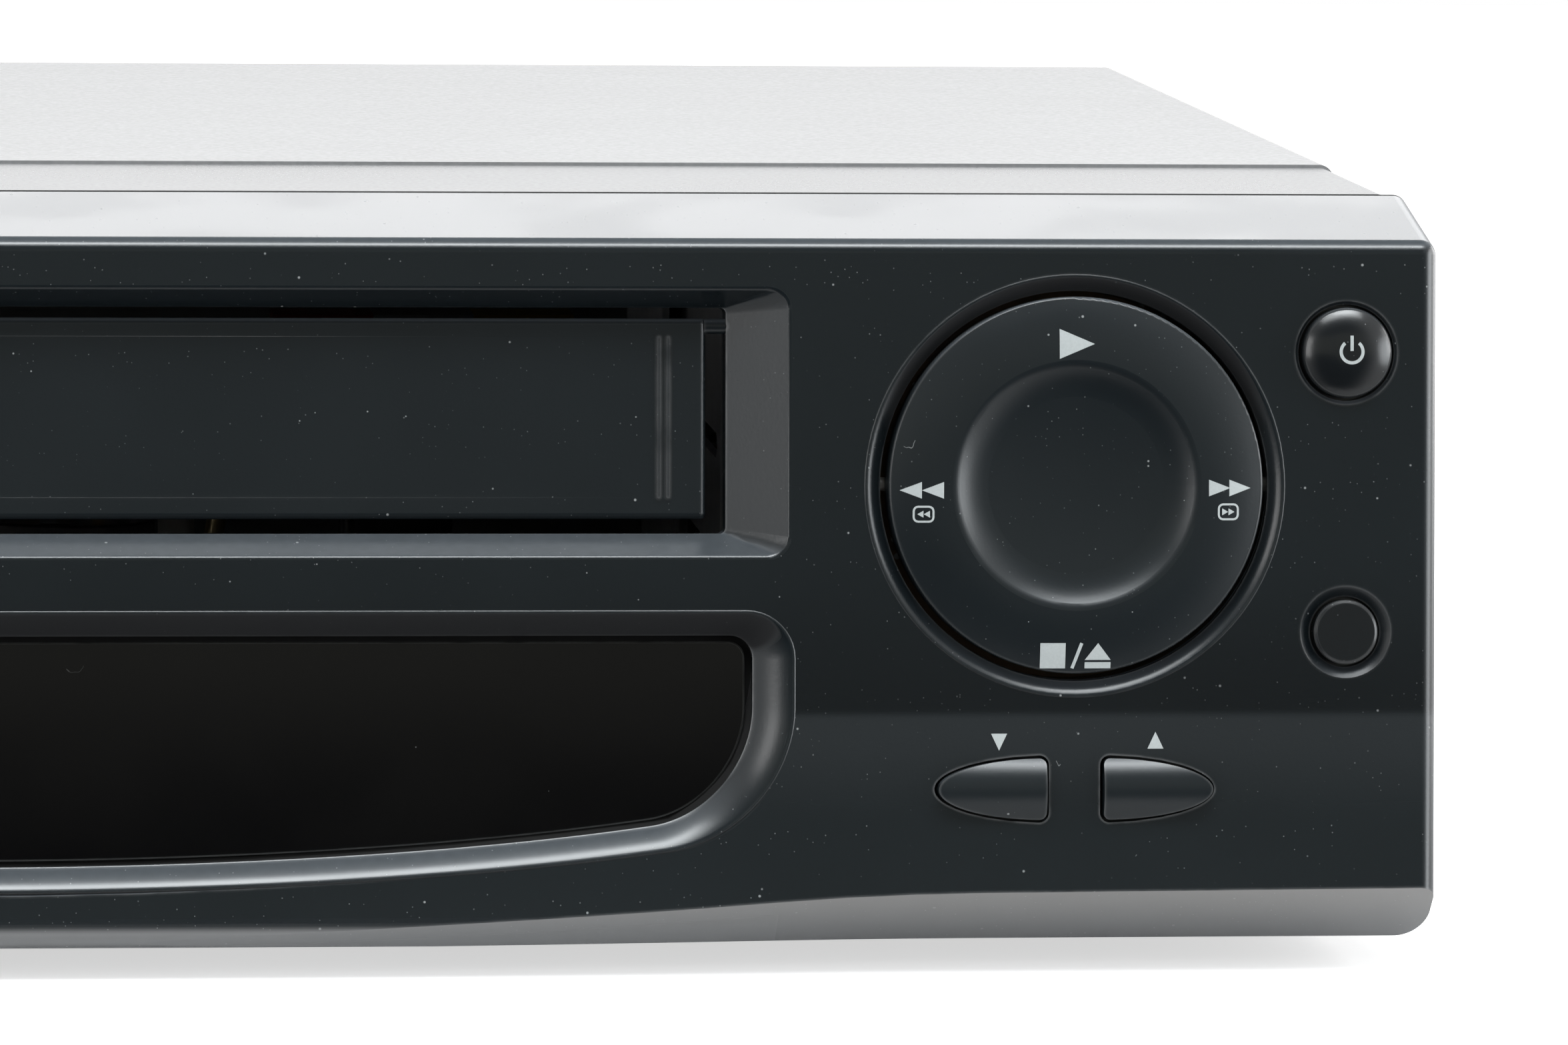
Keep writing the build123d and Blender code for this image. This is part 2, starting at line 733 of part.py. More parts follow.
def display_tube():
    """The flat glass display tube in front of the board, with its exhaust tip."""
    outline = Pos(0, up(tube_z)) * RectangleRounded(tube_width, tube_height, 2.0)
    far = board_depth - 0.4
    tube = sunk(outline, far - tube_thick, far)
    tip = face_plane(far - tube_thick / 2) * Pos(tube_width / 2 + 1.5, up(tube_z), 0) * Rot(0, 90, 0)
    return tube + tip * Cylinder(1.5, 4.0)


# ---- Case
def cover_section(top):
    """The cover across the machine: a top and two sides with rounded bends."""
    height = top - cover_foot_z
    middle = Pos(0, (top + cover_foot_z) / 2)
    outer = middle * Rectangle(2 * cover_half, height)
    outer = fillet(outer.vertices().group_by(Axis.Y)[-1], cover_bend)
    inner = middle * Pos(0, -sheet) * Rectangle(2 * (cover_half - sheet), height)
    inner = fillet(inner.vertices().group_by(Axis.Y)[-1], cover_bend - sheet)
    return outer - inner


def screw_places():
    """The cover's side screws: their Y."""
    return (cover_front_y + 27.0, rear_panel_y - 20.0)


def top_cover():
    """The folded steel cover, with a shallow step behind the bezel and slots low in its sides."""
    step_y = cover_front_y + cover_step_run
    cover = along_y(cover_section(body_height), step_y, rear_y)
    cover += along_y(cover_section(strip_top_z), cover_front_y, step_y)
    first = step_y + 40.0
    for sign in (-1, 1):
        for n in range(vent_count):
            y = first + n * vent_pitch
            outline = Pos(y, cover_foot_z + 20.0) * SlotOverall(vent_length, vent_width, rotation=90)
            cover -= along_x(outline, sign * cover_half - 3, sign * cover_half + 3)
        for y in screw_places():
            cover -= rod_x(sign * cover_half - 3, sign * cover_half + 3, y, screw_z, screw_radius + 0.2)
    return cover


def cover_screws():
    """The four screws that hold the cover's sides to the tray."""
    screws = []
    for sign in (-1, 1):
        for y in screw_places():
            x = sign * cover_half
            head = rod_x(x, x + sign * (cover_inset - 0.1), y, screw_z, screw_head_radius)
            head = chamfer(head.edges().sort_by(Axis.X)[-1 if sign > 0 else 0], 0.8)
            shank = rod_x(x, x - sign * 8.0, y, screw_z, screw_radius)
            cross = block(x + sign * 1.2, x + sign * 3, y - 2.2, y + 2.2, screw_z - 0.4, screw_z + 0.4)
            cross += block(x + sign * 1.2, x + sign * 3, y - 0.4, y + 0.4, screw_z - 2.2, screw_z + 2.2)
            screws.append(head + shank - cross)
    return Compound(screws)


def board_stands():
    """The low stands under the boards: x, y."""
    side = tray_half - 10.2
    front = board_front_y + 17.7
    rear = board_rear_y - 3.0
    return [(x, y) for x in (-side, board_split_x - 9, 20, side) for y in (front, rear)]


def deck_posts():
    """The tall posts under the tape deck: x, y."""
    rows = (deck_y + deck_front_y + 10, deck_y + deck_rear_y - 18)
    return [(sign * deck_post_x, y) for sign in (-1, 1) for y in rows]


def base_tray():
    """The folded steel tray: a ribbed floor with air slots, two sides, and posts for boards and deck."""
    tray = block(-tray_half, tray_half, cover_front_y, tray_rear_y, foot_height, tray_floor_z)
    for sign in (-1, 1):
        x = sign * tray_half
        tray += block(x, x - sign * tray_sheet, cover_front_y, tray_rear_y, foot_height, tray_wall_z)
        for y in screw_places():
            tray -= rod_x(x - 5, x + 5, y, screw_z, screw_radius + 0.1)
        for n in range(floor_vent_count):
            y = floor_vent_y + n * floor_vent_pitch
            slot = oblong(sign * foot_x - vent_length / 2, y, sign * foot_x + vent_length / 2, y, vent_width)
            tray -= slab(slot, foot_height - 1, tray_floor_z + 1)
    for y in (-20, 30, 80):
        tray += slab(oblong(-84, y, 84, y, 8.0), tray_floor_z, tray_floor_z + 0.8)
    for x, y in board_stands():
        tray += rod(x, y, tray_floor_z, main_board_z, 3.0)
    for x, y in deck_posts():
        tray += rod(x, y, tray_floor_z, deck_z, deck_post_radius)
    return tray


def rubber_feet():
    """Four tapered feet."""
    feet = []
    for x in (-foot_x, foot_x):
        for y in (front_foot_y, rear_foot_y):
            cone = Pos(x, y, foot_height / 2) * Cone(foot_radius - 1.2, foot_radius, foot_height)
            dimple = rod(x, y, 0, 1.2, foot_radius / 3)
            feet.append(cone - dimple)
    return Compound(feet)


def rear_panel():
    """The rear panel with openings for the sockets and the mains inlet, and a foot folded forwards."""
    top = body_height - sheet - 0.7
    half = cover_half - sheet - 0.6
    panel = block(-half, half, rear_panel_y, rear_panel_y + tray_sheet, foot_height, top)
    fold = half - 8
    panel += block(-fold, fold, rear_panel_y - 10, rear_panel_y + 0.5, tray_floor_z, tray_floor_z + tray_sheet)
    for x, z in aerial_places:
        panel -= rod_y(x, rear_panel_y - 2, rear_panel_y + 4, z, 5.2)
    for x, z in phono_places:
        panel -= rod_y(x, rear_panel_y - 2, rear_panel_y + 4, z, 5.0)
    reach = inlet_half_width + panel_hole_gap
    rise = inlet_half_height + panel_hole_gap
    near = rear_panel_y - 2
    panel -= block(inlet_x - reach, inlet_x + reach, near, near + 6, inlet_z - rise, inlet_z + rise)
    for n in range(10):
        outline = Pos(-60 + n * 7.0, 70) * SlotOverall(vent_length, vent_width, rotation=90)
        panel -= along_y(outline, rear_panel_y - 2, rear_panel_y + 4)
    return panel


def mains_inlet():
    """A two-pin inlet: a figure-eight well with its pins, and a flange on the rear panel."""
    back = rear_panel_y + tray_sheet
    half = inlet_half_width
    rise = inlet_half_height
    body = block(inlet_x - half, inlet_x + half, back - 14, back, inlet_z - rise, inlet_z + rise)
    body += block(inlet_x - half - 4, inlet_x + half + 4, back, back + 1.6, inlet_z - rise - 2, inlet_z + rise + 2)
    for sign in (-1, 1):
        body -= rod_y(inlet_x + sign * inlet_pin_x, back - 11, back + 3, inlet_z, inlet_well_radius)
    for sign in (-1, 1):
        body += rod_y(inlet_x + sign * inlet_pin_x, back - 12, back - 2, inlet_z, 1.2)
    return body


def aerial_sockets():
    """Two coaxial aerial sockets that pass through the rear panel from the tuner."""
    sockets = []
    for x, z in aerial_places:
        barrel = rod_y(x, rear_panel_y - 3.6, rear_panel_y + 10, z, 4.8)
        barrel -= rod_y(x, rear_panel_y + 2, rear_panel_y + 11, z, 3.6)
        pin = rod_y(x, rear_panel_y + 1, rear_panel_y + 8, z, 0.7)
        sockets.append(barrel + pin)
    return Compound(sockets)


def phono_sockets():
    """Six phono sockets on one moulded block behind the rear panel."""
    xs = [x for x, z in phono_places]
    zs = [z for x, z in phono_places]
    holder = block(min(xs) - 8, max(xs) + 8, rear_panel_y - 12, rear_panel_y - 0.1, min(zs) - 8, max(zs) + 8)
    for x, z in phono_places:
        holder += rod_y(x, rear_panel_y - 1, rear_panel_y + 10.4, z, 4.2)
        holder -= rod_y(x, rear_panel_y + 1, rear_panel_y + 11, z, 1.7)
    return holder


# ---- Electronics
def main_board():
    """The main circuit board, with holes round the deck's posts."""
    board = block(board_split_x + 2, tray_half - 3, board_front_y, board_rear_y, main_board_z, board_top_z)
    for x, y in deck_posts():
        if x > board_split_x:
            board -= rod(x, y, main_board_z - 1, board_top_z + 1, deck_post_radius + 0.6)
    return board


def power_board():
    """The power supply's board, left of the main board."""
    return block(-tray_half + 3, board_split_x, board_front_y, board_rear_y, main_board_z, board_top_z)


def capacitors():
    """Upright capacitors on both boards."""
    places = [(-128, 20, 9, 30), (-128, -8, 6, 22), (-124, 88, 6, 22), (-124, 70, 5, 18)]
    places += [(124, -70, 5, 16), (140, -60, 4, 14), (160, -78, 5, 16), (150, -20, 6, 20), (168, 0, 4, 14)]
    cans = []
    for x, y, radius, height in places:
        can = rod(x, y, board_top_z, board_top_z + height, radius)
        cans.append(chamfer(can.edges().sort_by(Axis.Z)[-1], 0.7))
    return Compound(cans)


def tuner_can():
    """The tuner's folded metal can, upright on the main board behind the aerial sockets."""
    can = block(112, 134, rear_panel_y - 70, rear_panel_y - 3.6, board_top_z + 2, board_top_z + 62)
    can += block(114, 132, rear_panel_y - 60, rear_panel_y - 56, board_top_z, board_top_z + 2)
    can += block(114, 132, rear_panel_y - 20, rear_panel_y - 16, board_top_z, board_top_z + 2)
    for n in range(5):
        can -= block(111, 113, rear_panel_y - 62 + 12 * n, rear_panel_y - 56 + 12 * n, 24, 60)
    return can


def power_transformer():
    """The switching transformer: a wound bobbin between two core halves."""
    x = -150.0
    y = 62.0
    core = block(x - 17, x + 17, y - 7, y + 7, board_top_z + 3, board_top_z + 31)
    bobbin = rod(x, y, board_top_z, board_top_z + 3.5, 12)
    winding = rod(x, y, board_top_z + 7, board_top_z + 27, 14)
    return core + bobbin + winding


def heat_sink():
    """A finned heat sink, drawn out upwards."""
    x = -tray_half + 9
    profile = Pos(x, 0) * Rectangle(3, 70)
    for n in range(9):
        profile += Pos(x + 6, -32 + 8 * n) * Rectangle(12, 2)
    return slab(profile, board_top_z, board_top_z + 34)


# ---- Cassette loader
def loader_bracket(sign):
    """A side bracket of the loader, with the two L-shaped slots and the slider's rail pins."""
    low_y = front_pin_y - load_travel - 7
    high_y = holder_rear_y + 8
    x0 = sign * bracket_x
    x1 = sign * (bracket_x + bracket_sheet)
    outline = Pos((low_y + high_y) / 2, (deck_top_z + bracket_top_z) / 2) * RectangleRounded(
        high_y - low_y, bracket_top_z - deck_top_z, 3.0
    )
    width = 2 * pin_slot
    for y, z in ((front_pin_y, front_pin_z), (rear_pin_y, rear_pin_z)):
        outline -= oblong(y - load_travel, z, y, z, width)
        outline -= oblong(y, z - drop_travel, y, z, width)
    window = Pos((front_pin_y + rear_pin_y) / 2 - 45, 42) * RectangleRounded(36, 20, 4)
    plate = along_x(outline - window, min(x0, x1), max(x0, x1))
    foot_out = sign * (deck_half - 0.5)
    for y in (deck_front_y + 14, high_y - 12):
        plate += block(x0, foot_out, y - 6, y + 6, deck_top_z, deck_top_z + bracket_sheet)
    for y in rail_pin_y:
        plate += rod_x(x0 + sign * 0.2, sign * pin_tip_x, y, slider_rail_z, holder_pin_radius)
    return plate


def loader_brace():
    """The plate across the rear of the two brackets."""
    half = bracket_x + bracket_sheet
    y0 = holder_rear_y - 10
    y1 = holder_rear_y + 7
    plate = block(-half, half, y0, y1, bracket_top_z, bracket_top_z + bracket_sheet)
    plate += block(-half + 6, half - 6, y1 - bracket_sheet, y1, bracket_top_z - 4, bracket_top_z + 0.5)
    for x in (-60, 0, 60):
        plate -= slab(oblong(x - 14, y0 + 6, x + 14, y0 + 6, 6), bracket_top_z - 1, bracket_top_z + 3)
    return plate


def loader_slider():
    """The sliding carrier: two side plates that push the holder's pins, joined by a bar over the holder."""
    y0 = front_pin_y - 11
    y1 = rear_pin_y + 8
    bar_z = bracket_top_z + 1.0
    bar_top = bar_z + bracket_sheet
    width = 2 * pin_slot
    low = 35.0
    high = slider_rail_z - 3
    plate = Pos((y0 + y1) / 2, (low + high) / 2) * RectangleRounded(y1 - y0, high - low, 3)
    rail_end = rail_pin_y[1] + load_travel + 8
    plate += Pos((y0 + rail_end) / 2, (slider_rail_z - 4 + bar_z) / 2) * Rectangle(
        rail_end - y0, bar_z - slider_rail_z + 4
    )
    plate -= oblong(rail_pin_y[0], slider_rail_z, rail_pin_y[1] + load_travel, slider_rail_z, width)
    for y, z in ((front_pin_y, front_pin_z), (rear_pin_y, rear_pin_z)):
        plate -= oblong(y, z - drop_travel, y, z, width)
    slider = block(-slider_x - bracket_sheet, slider_x + bracket_sheet, -42, -24, bar_z, bar_top)
    for x in (-55, 0, 55):
        slider -= slab(oblong(x - 15, -33, x + 15, -33, 8), bar_z - 1, bar_top + 1)
    for sign in (-1, 1):
        x0 = sign * slider_x
        x1 = sign * (slider_x + bracket_sheet)
        slider += along_x(plate, min(x0, x1), max(x0, x1))
    return slider


def cassette_holder():
    """The holder that carries the cassette: a top, two sides, and a lip under each side."""
    top = holder_high_z
    low = holder_low_z
    half = holder_half
    y0 = holder_front_y
    y1 = holder_rear_y
    holder = block(-half, half, y0 + holder_top_start, y1, top - holder_sheet, top)
    window = RectangleRounded(50, 22, 3)
    for x in (-50, 50):
        holder -= slab(Pos(x, (y0 + holder_top_start + y1) / 2) * window, top - 2, top + 1)
    for sign in (-1, 1):
        x = sign * half
        inner = x - sign * holder_sheet
        holder += block(inner, x, y0, y1, low, top)
        holder += block(x - sign * holder_lip, x, y0, y1, low, low + holder_sheet)
        stop = x - sign * holder_lip
        holder += block(stop, x, y1 - holder_sheet, y1, low, low + 9)
        for y, z in ((front_pin_y, front_pin_z), (rear_pin_y, rear_pin_z)):
            holder += rod_x(inner + sign * 0.2, sign * pin_tip_x, y, z, holder_pin_radius)
    return holder


# ---- Tape deck
def guide_tracks():
    """The two slots that the tape guides run along."""
    return [oblong(*start, *end, guide_slot) for start, end in zip(guide_start, guide_end)]


def deck_plate():
    """The deck plate, with the guide tracks and the pins that reels and arms turn on."""
    middle_y = (deck_front_y + deck_rear_y) / 2
    outline = Pos(0, middle_y) * RectangleRounded(2 * deck_half, deck_rear_y - deck_front_y, 4)
    for track in guide_tracks():
        outline -= track
    outline -= Pos(capstan_x, capstan_y) * Circle(4.6)
    outline -= Pos(0, clutch_y) * Circle(3.0 + running)
    outline -= Pos(drum_x, drum_y) * Circle(18.0)
    outline -= Pos(0, deck_front_y + 20) * RectangleRounded(90, 16, 4)
    plate = slab(outline, deck_z, deck_top_z)
    for sign in (-1, 1):
        plate += rod(sign * reel_x, reel_y, deck_z, spindle_top_z - 4, 1.5)
        flange_x = sign * deck_half
        plate += block(flange_x, flange_x - sign * 1.2, -100, -70, deck_z - 5, deck_z + 0.5)
        plate += block(flange_x, flange_x - sign * 1.2, 20, 90, deck_z - 5, deck_z + 0.5)
    for pivot in (pinch_pivot, tension_pivot):
        plate += rod(*pivot, deck_z, deck_top_z + pivot_rise, 1.8)
    plate += rod(cam_x, cam_y, deck_z, cam_z + cam_thick + 1, 2.5)
    plate += rod(cam_x, cam_y, deck_z, cam_z - free_gap, 5.0)
    return plate


def reel(sign):
    """A reel table: a drive rim, a seat for the cassette hub, and a spindle with three fins."""
    x = sign * reel_x
    table = rod(x, reel_y, deck_top_z + 0.6, deck_top_z + 4.4, reel_radius)
    table -= rod(x, reel_y, deck_top_z + 2.8, deck_top_z + 5, reel_radius - 3) - rod(
        x, reel_y, deck_top_z + 2.8, deck_top_z + 5, 13
    )
    table += rod(x, reel_y, deck_top_z + 2.8, deck_top_z + 7.4, 12.0)
    spindle = rod(x, reel_y, deck_top_z + 4, spindle_top_z - 2, 5.2)
    spindle += Pos(x, reel_y, spindle_top_z - 1) * Cone(5.2, 1.6, 2.0)
    for n in range(3):
        fin = block(3, spindle_radius, -0.9, 0.9, deck_top_z + 5.4, spindle_top_z - 5)
        spindle += Pos(x, reel_y, 0) * Rot(0, 0, 120 * n + 30) * fin
    table += spindle
    return table - rod(x, reel_y, deck_z, spindle_top_z - 3.8, 1.5 + running)


def capstan_flywheel():
    """The capstan shaft with its flywheel and belt pulley."""
    low = board_top_z + 2.2
    wheel = rod(capstan_x, capstan_y, low, low + 3.2, flywheel_radius)
    wheel -= rod(capstan_x, capstan_y, low + 2.0, low + 4, flywheel_radius - 4) - rod(
        capstan_x, capstan_y, low + 2.0, low + 4, 10
    )
    wheel += rod(capstan_x, capstan_y, low, capstan_belt_z + pulley_height, pulley_radius)
    return wheel + rod(capstan_x, capstan_y, low, tape_high_z, capstan_radius)


def capstan_bearing():
    """The flanged bearing tube that the capstan shaft turns in."""
    tube = rod(capstan_x, capstan_y, deck_z - 0.6, deck_top_z + 10.4, 4.5)
    tube += rod(capstan_x, capstan_y, deck_top_z, deck_top_z + 1.4, 8.0)
    return tube - rod(capstan_x, capstan_y, deck_z - 2, tape_high_z, capstan_radius + running)


def capstan_stator():
    """The plate under the flywheel that carries the drive coils, hung from the deck by three posts."""
    low = board_top_z + 0.5
    plate = rod(capstan_x, capstan_y, low, low + 1.0, flywheel_radius + 6)
    for angle in stator_post_angles:
        x = capstan_x + (flywheel_radius + 3.6) * cos(radians(angle))
        y = capstan_y + (flywheel_radius + 3.6) * sin(radians(angle))
        plate += rod(x, y, low, deck_z, 2.0)
    return plate


def clutch_hub():
    """The clutch: a belt pulley under the deck and a friction hub above it on one shaft."""
    low = capstan_belt_z
    hub_radius = idler_reach - idler_radius - 0.15
    hub = rod(0, clutch_y, low, low + pulley_height, clutch_pulley_radius)
    hub += rod(0, clutch_y, low, deck_top_z + 0.6, 3.0)
    hub += rod(0, clutch_y, deck_top_z + 0.6, deck_top_z + 3.8, hub_radius)
    return hub + rod(0, clutch_y, deck_top_z + 3, deck_top_z + 6.4, 1.5)


def drive_belt():
    """The belt from the capstan's pulley to the clutch."""
    centre_a = Vector(capstan_x, capstan_y)
    centre_b = Vector(0, clutch_y)
    inner_a = pulley_radius + running
    inner_b = clutch_pulley_radius + running

    def loop(extra):
        ring = make_hull(
            (Pos(centre_a.X, centre_a.Y) * Circle(inner_a + extra)).edges()
            + (Pos(centre_b.X, centre_b.Y) * Circle(inner_b + extra)).edges()
        )
        return ring

    low = capstan_belt_z + 0.5
    return slab(loop(belt_thick) - loop(0), low, low + 2.2)


def idler_arm():
    """The arm that swings the idler wheel to either reel."""
    low = deck_top_z + 4.6
    arm = slab(oblong(0, clutch_y, 0, clutch_y - idler_reach, 8.0), low, low + 1.0)
    arm -= rod(0, clutch_y, low - 1, low + 2, 1.5 + running)
    return arm + rod(0, clutch_y - idler_reach, deck_top_z + 0.6, low + 0.5, 1.2)


def idler_wheel():
    """The idler wheel between the clutch and the reels."""
    y = clutch_y - idler_reach
    wheel = rod(0, y, deck_top_z + 0.8, deck_top_z + 3.8, idler_radius)
    return wheel - rod(0, y, deck_top_z, deck_top_z + 5, 1.2 + running)


def drum_place(z):
    """The drum's own frame, tilted, with its origin z above the deck."""
    return Pos(drum_x, drum_y, deck_top_z) * Rot(0, drum_tilt, 0) * Pos(0, 0, z)


def drum_base():
    """The drum's base on the deck and its fixed lower half, with a bore for the two bearings."""
    base = rod(drum_x, drum_y, deck_top_z, deck_top_z + 2.4, drum_radius + 4)
    column = drum_place(3) * Cylinder(22, 14)
    column &= block(-200, 200, -200, 200, deck_top_z + 1, 90)
    lower = drum_place(13) * Cylinder(drum_radius, 12)
    body = base + column + lower
    body -= drum_place(9) * Cylinder(8.0, 24)
    return body - rod(drum_x, drum_y, deck_top_z - 2, deck_top_z + 4, 10)


def drum_bearings():
    """The two ball bearings between the drum's shaft and its base."""
    rings = []
    for z in (10.0, 16.0):
        ring = drum_place(z) * Cylinder(8.0, 4.0)
        ring -= drum_place(z) * Cylinder(drum_shaft_radius + running, 6.0)
        rings.append(ring)
    return Compound(rings)


def head_drum():
    """The turning upper half of the drum, with six head windows at its lower edge, and its shaft."""
    low = 19.4
    high = 31.0
    drum = drum_place((low + high) / 2) * Cylinder(drum_radius, high - low)
    drum -= drum_place(high) * Cylinder(drum_radius - 5, 5.0)
    drum += drum_place(high - 2) * Cylinder(9.0, 5.0)
    for n in range(6):
        notch = Pos(drum_radius, 0, 0) * Box(4.0, 5.0, 3.0)
        drum -= drum_place(low + 1.0) * Rot(0, 0, 60 * n) * notch
    return drum + drum_place(18.0) * Cylinder(drum_shaft_radius, 26.0)


def guide_base(side):
    """A guide base: its block on the deck, a neck through the track, a keeper below, and its two posts."""
    x, y = guide_start[side]
    foot = slab(Pos(x, y) * RectangleRounded(13, 11, 2.5), deck_top_z + 0.2, deck_top_z + 4.0)
    foot += rod(x, y, deck_z - 1.0, deck_top_z + 1, guide_slot / 2 - 0.2)
    foot += rod(x, y, deck_z - 1.6, deck_z - 0.2, guide_slot / 2 + 1.6)
    foot += rod(x, y, deck_top_z + 3, tape_high_z + 1, 1.5)
    lean = Pos(x + (4.2 if side else -4.2), y + 1.5, deck_top_z + 12) * Rot(0, 10 if side else -10, 0)
    return foot + lean * Cylinder(1.4, 20)


def guide_roller(side):
    """The flanged roller on a guide base's upright post."""
    x, y = guide_start[side]
    low = deck_top_z + roller_rise
    roller = rod(x, y, low, low + roller_length, 2.6)
    return roller - rod(x, y, low - 1, low + roller_length + 1, 1.5 + running)


def arm(pivot, tip, post_radius, post_top):
    """A flat arm with a boss and a bore at its pivot, and an upright post at its tip."""
    low = deck_top_z + arm_rise
    bar = slab(oblong(*pivot, *tip, 7.0), low, low + arm_thick)
    bar += rod(*pivot, low - 1.6, low + arm_thick + 1, 5.0)
    bar -= rod(*pivot, low - 3, low + arm_thick + 3, 1.8 + running)
    return bar + rod(*tip, low + arm_thick / 2, post_top, post_radius)


def pinch_arm():
    """The arm that presses the pinch roller against the capstan."""
    return arm(pinch_pivot, pinch_rest, 1.8, tape_high_z + 1.5)


def pinch_roller():
    """The rubber pinch roller on its arm."""
    low = tape_high_z - roller_length
    roller = rod(*pinch_rest, low, tape_high_z, pinch_roller_radius)
    return roller - rod(*pinch_rest, low - 1, tape_high_z + 1, 1.8 + running)


def tension_arm():
    """The arm whose post feels the tape's tension."""
    return arm(tension_pivot, tension_rest, 2.0, tape_high_z)


def erase_head():
    """The full-width erase head on its post."""
    head = block(-73, -63, 26, 34, tape_low_z, tape_high_z)
    head = fillet(head.edges().filter_by(Axis.Z), 1.5)
    return head + rod(-68, 30, deck_top_z, tape_low_z + 1, 3.0)


def audio_head():
    """The audio and control head on its tilting plate."""
    plate = slab(Pos(62, 37) * RectangleRounded(18, 12, 2), deck_top_z + 4, deck_top_z + 5.6)
    for x in (56, 68):
        plate += rod(x, 38, deck_top_z, deck_top_z + 5, 1.8)
    head = block(56, 68, 34, 42, deck_top_z + 5, tape_high_z + 1)
    return plate + fillet(head.edges().filter_by(Axis.Z), 1.5)


def cam_gear():
    """The cam gear that drives the tape guides: 36 teeth, a hub, and a cam groove in its top."""
    pitch = cam_module * cam_teeth / 2
    root = pitch - 1.25 * cam_module
    tip = pitch + cam_module
    gear = Circle(root)
    for n in range(cam_teeth):
        angle = 360 * n / cam_teeth
        tooth = Polygon((root - 0.5, -0.85), (tip, -0.35), (tip, 0.35), (root - 0.5, 0.85), align=None)
        gear += Rot(0, 0, angle) * tooth
    body = slab(gear, cam_z, cam_z + cam_thick)
    groove = Circle(13.5) - Circle(10.5)
    body -= slab(groove, cam_z + cam_thick - 2.5, cam_z + cam_thick + 1)
    body -= rod(0, 0, cam_z - 1, cam_z + cam_thick + 1, 2.5 + running)
    return Pos(cam_x, cam_y, 0) * body


def worm_y():
    """The worm's centre line behind the cam gear."""
    return cam_y + cam_module * cam_teeth / 2 + cam_module + worm_radius + free_gap


def loading_worm():
    """The worm on the loading motor's shaft."""
    z = cam_z + cam_thick / 2
    body = rod_x(cam_x - 14, cam_x + 14, worm_y(), z, worm_radius)
    for n in range(9):
        x = cam_x - 12 + 3 * n
        groove = rod_x(x - 0.6, x + 0.6, worm_y(), z, worm_radius + 1)
        body -= groove - rod_x(x - 0.6, x + 0.6, worm_y(), z, worm_radius - 0.9)
    return body + rod_x(cam_x + 13, cam_x + 19, worm_y(), z, 1.2)


def loading_motor():
    """The small loading motor in its cradle."""
    z = cam_z + cam_thick / 2
    x0 = cam_x + 17
    can = rod_x(x0, x0 + 28, worm_y(), z, motor_radius)
    can = chamfer(can.edges().filter_by(GeomType.CIRCLE), 1.0)
    cradle = block(x0 + 3, x0 + 25, worm_y() - 7, worm_y() + 7, deck_top_z, z - 5)
    return can + cradle - rod_x(x0 - 1, x0 + 3, worm_y(), z, 1.2 + running)


nodes = {
    "front_bezel": front_bezel(),
    "cassette_flap": flap(),
    "display_window": display_window(),
    "transport_dial": dial(),
    "dial_gimbal": gimbal(),
    "power_button": power_button(),
    "record_button": record_button(),
    "channel_down_button": channel_button(-1),
    "channel_up_button": channel_button(1),
    "front_board": front_board(),
    "tact_switches": tact_switches(),
    "display_tube": display_tube(),
    "top_cover": top_cover(),
    "cover_screws": cover_screws(),
    "base_tray": base_tray(),
    "rubber_feet": rubber_feet(),
    "rear_panel": rear_panel(),
    "mains_inlet": mains_inlet(),
    "aerial_sockets": aerial_sockets(),
    "phono_sockets": phono_sockets(),
    "main_board": main_board(),
    "power_board": power_board(),
    "board_capacitors": capacitors(),
    "tuner_can": tuner_can(),
    "power_transformer": power_transformer(),
    "heat_sink": heat_sink(),
}

deck_nodes = {
    "loader_bracket_left": loader_bracket(-1),
    "loader_bracket_right": loader_bracket(1),
    "loader_brace": loader_brace(),
    "loader_slider": loader_slider(),
    "cassette_holder": cassette_holder(),
    "deck_plate": deck_plate(),
    "supply_reel": reel(-1),
    "take_up_reel": reel(1),
    "capstan_flywheel": capstan_flywheel(),
    "capstan_bearing": capstan_bearing(),
    "capstan_stator": capstan_stator(),
    "clutch_hub": clutch_hub(),
    "drive_belt": drive_belt(),
    "idler_arm": idler_arm(),
    "idler_wheel": idler_wheel(),
    "drum_base": drum_base(),
    "drum_bearings": drum_bearings(),
    "head_drum": head_drum(),
    "guide_base_supply": guide_base(0),
    "guide_base_take_up": guide_base(1),
    "guide_roller_supply": guide_roller(0),
    "guide_roller_take_up": guide_roller(1),
    "pinch_arm": pinch_arm(),
    "pinch_roller": pinch_roller(),
    "tension_arm": tension_arm(),
    "erase_head": erase_head(),
    "audio_head": audio_head(),
    "cam_gear": cam_gear(),
    "loading_worm": loading_worm(),
    "loading_motor": loading_motor(),
}
for name, piece in deck_nodes.items():
    nodes[name] = Pos(0, deck_y, 0) * piece

os.makedirs("parts", exist_ok=True)
for name, piece in nodes.items():
    export_step(piece, f"parts/{name}.step")
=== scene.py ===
# %% [markdown]
# # A front-loading video cassette recorder
#
# The model arrives as a fixed frame: every part is already at its real size and place, in metres,
# with X to the right, the front looking along -Y, and Z up. This lesson gives it its looks. We
# set a camera, light a small studio, build a few shader effects once and share them between
# materials, and then model what the frame leaves out, such as the printed symbols.

# %% Load the frame
from math import cos, pi, radians, sin

import bmesh
import bpy
from mathutils import Matrix, Vector


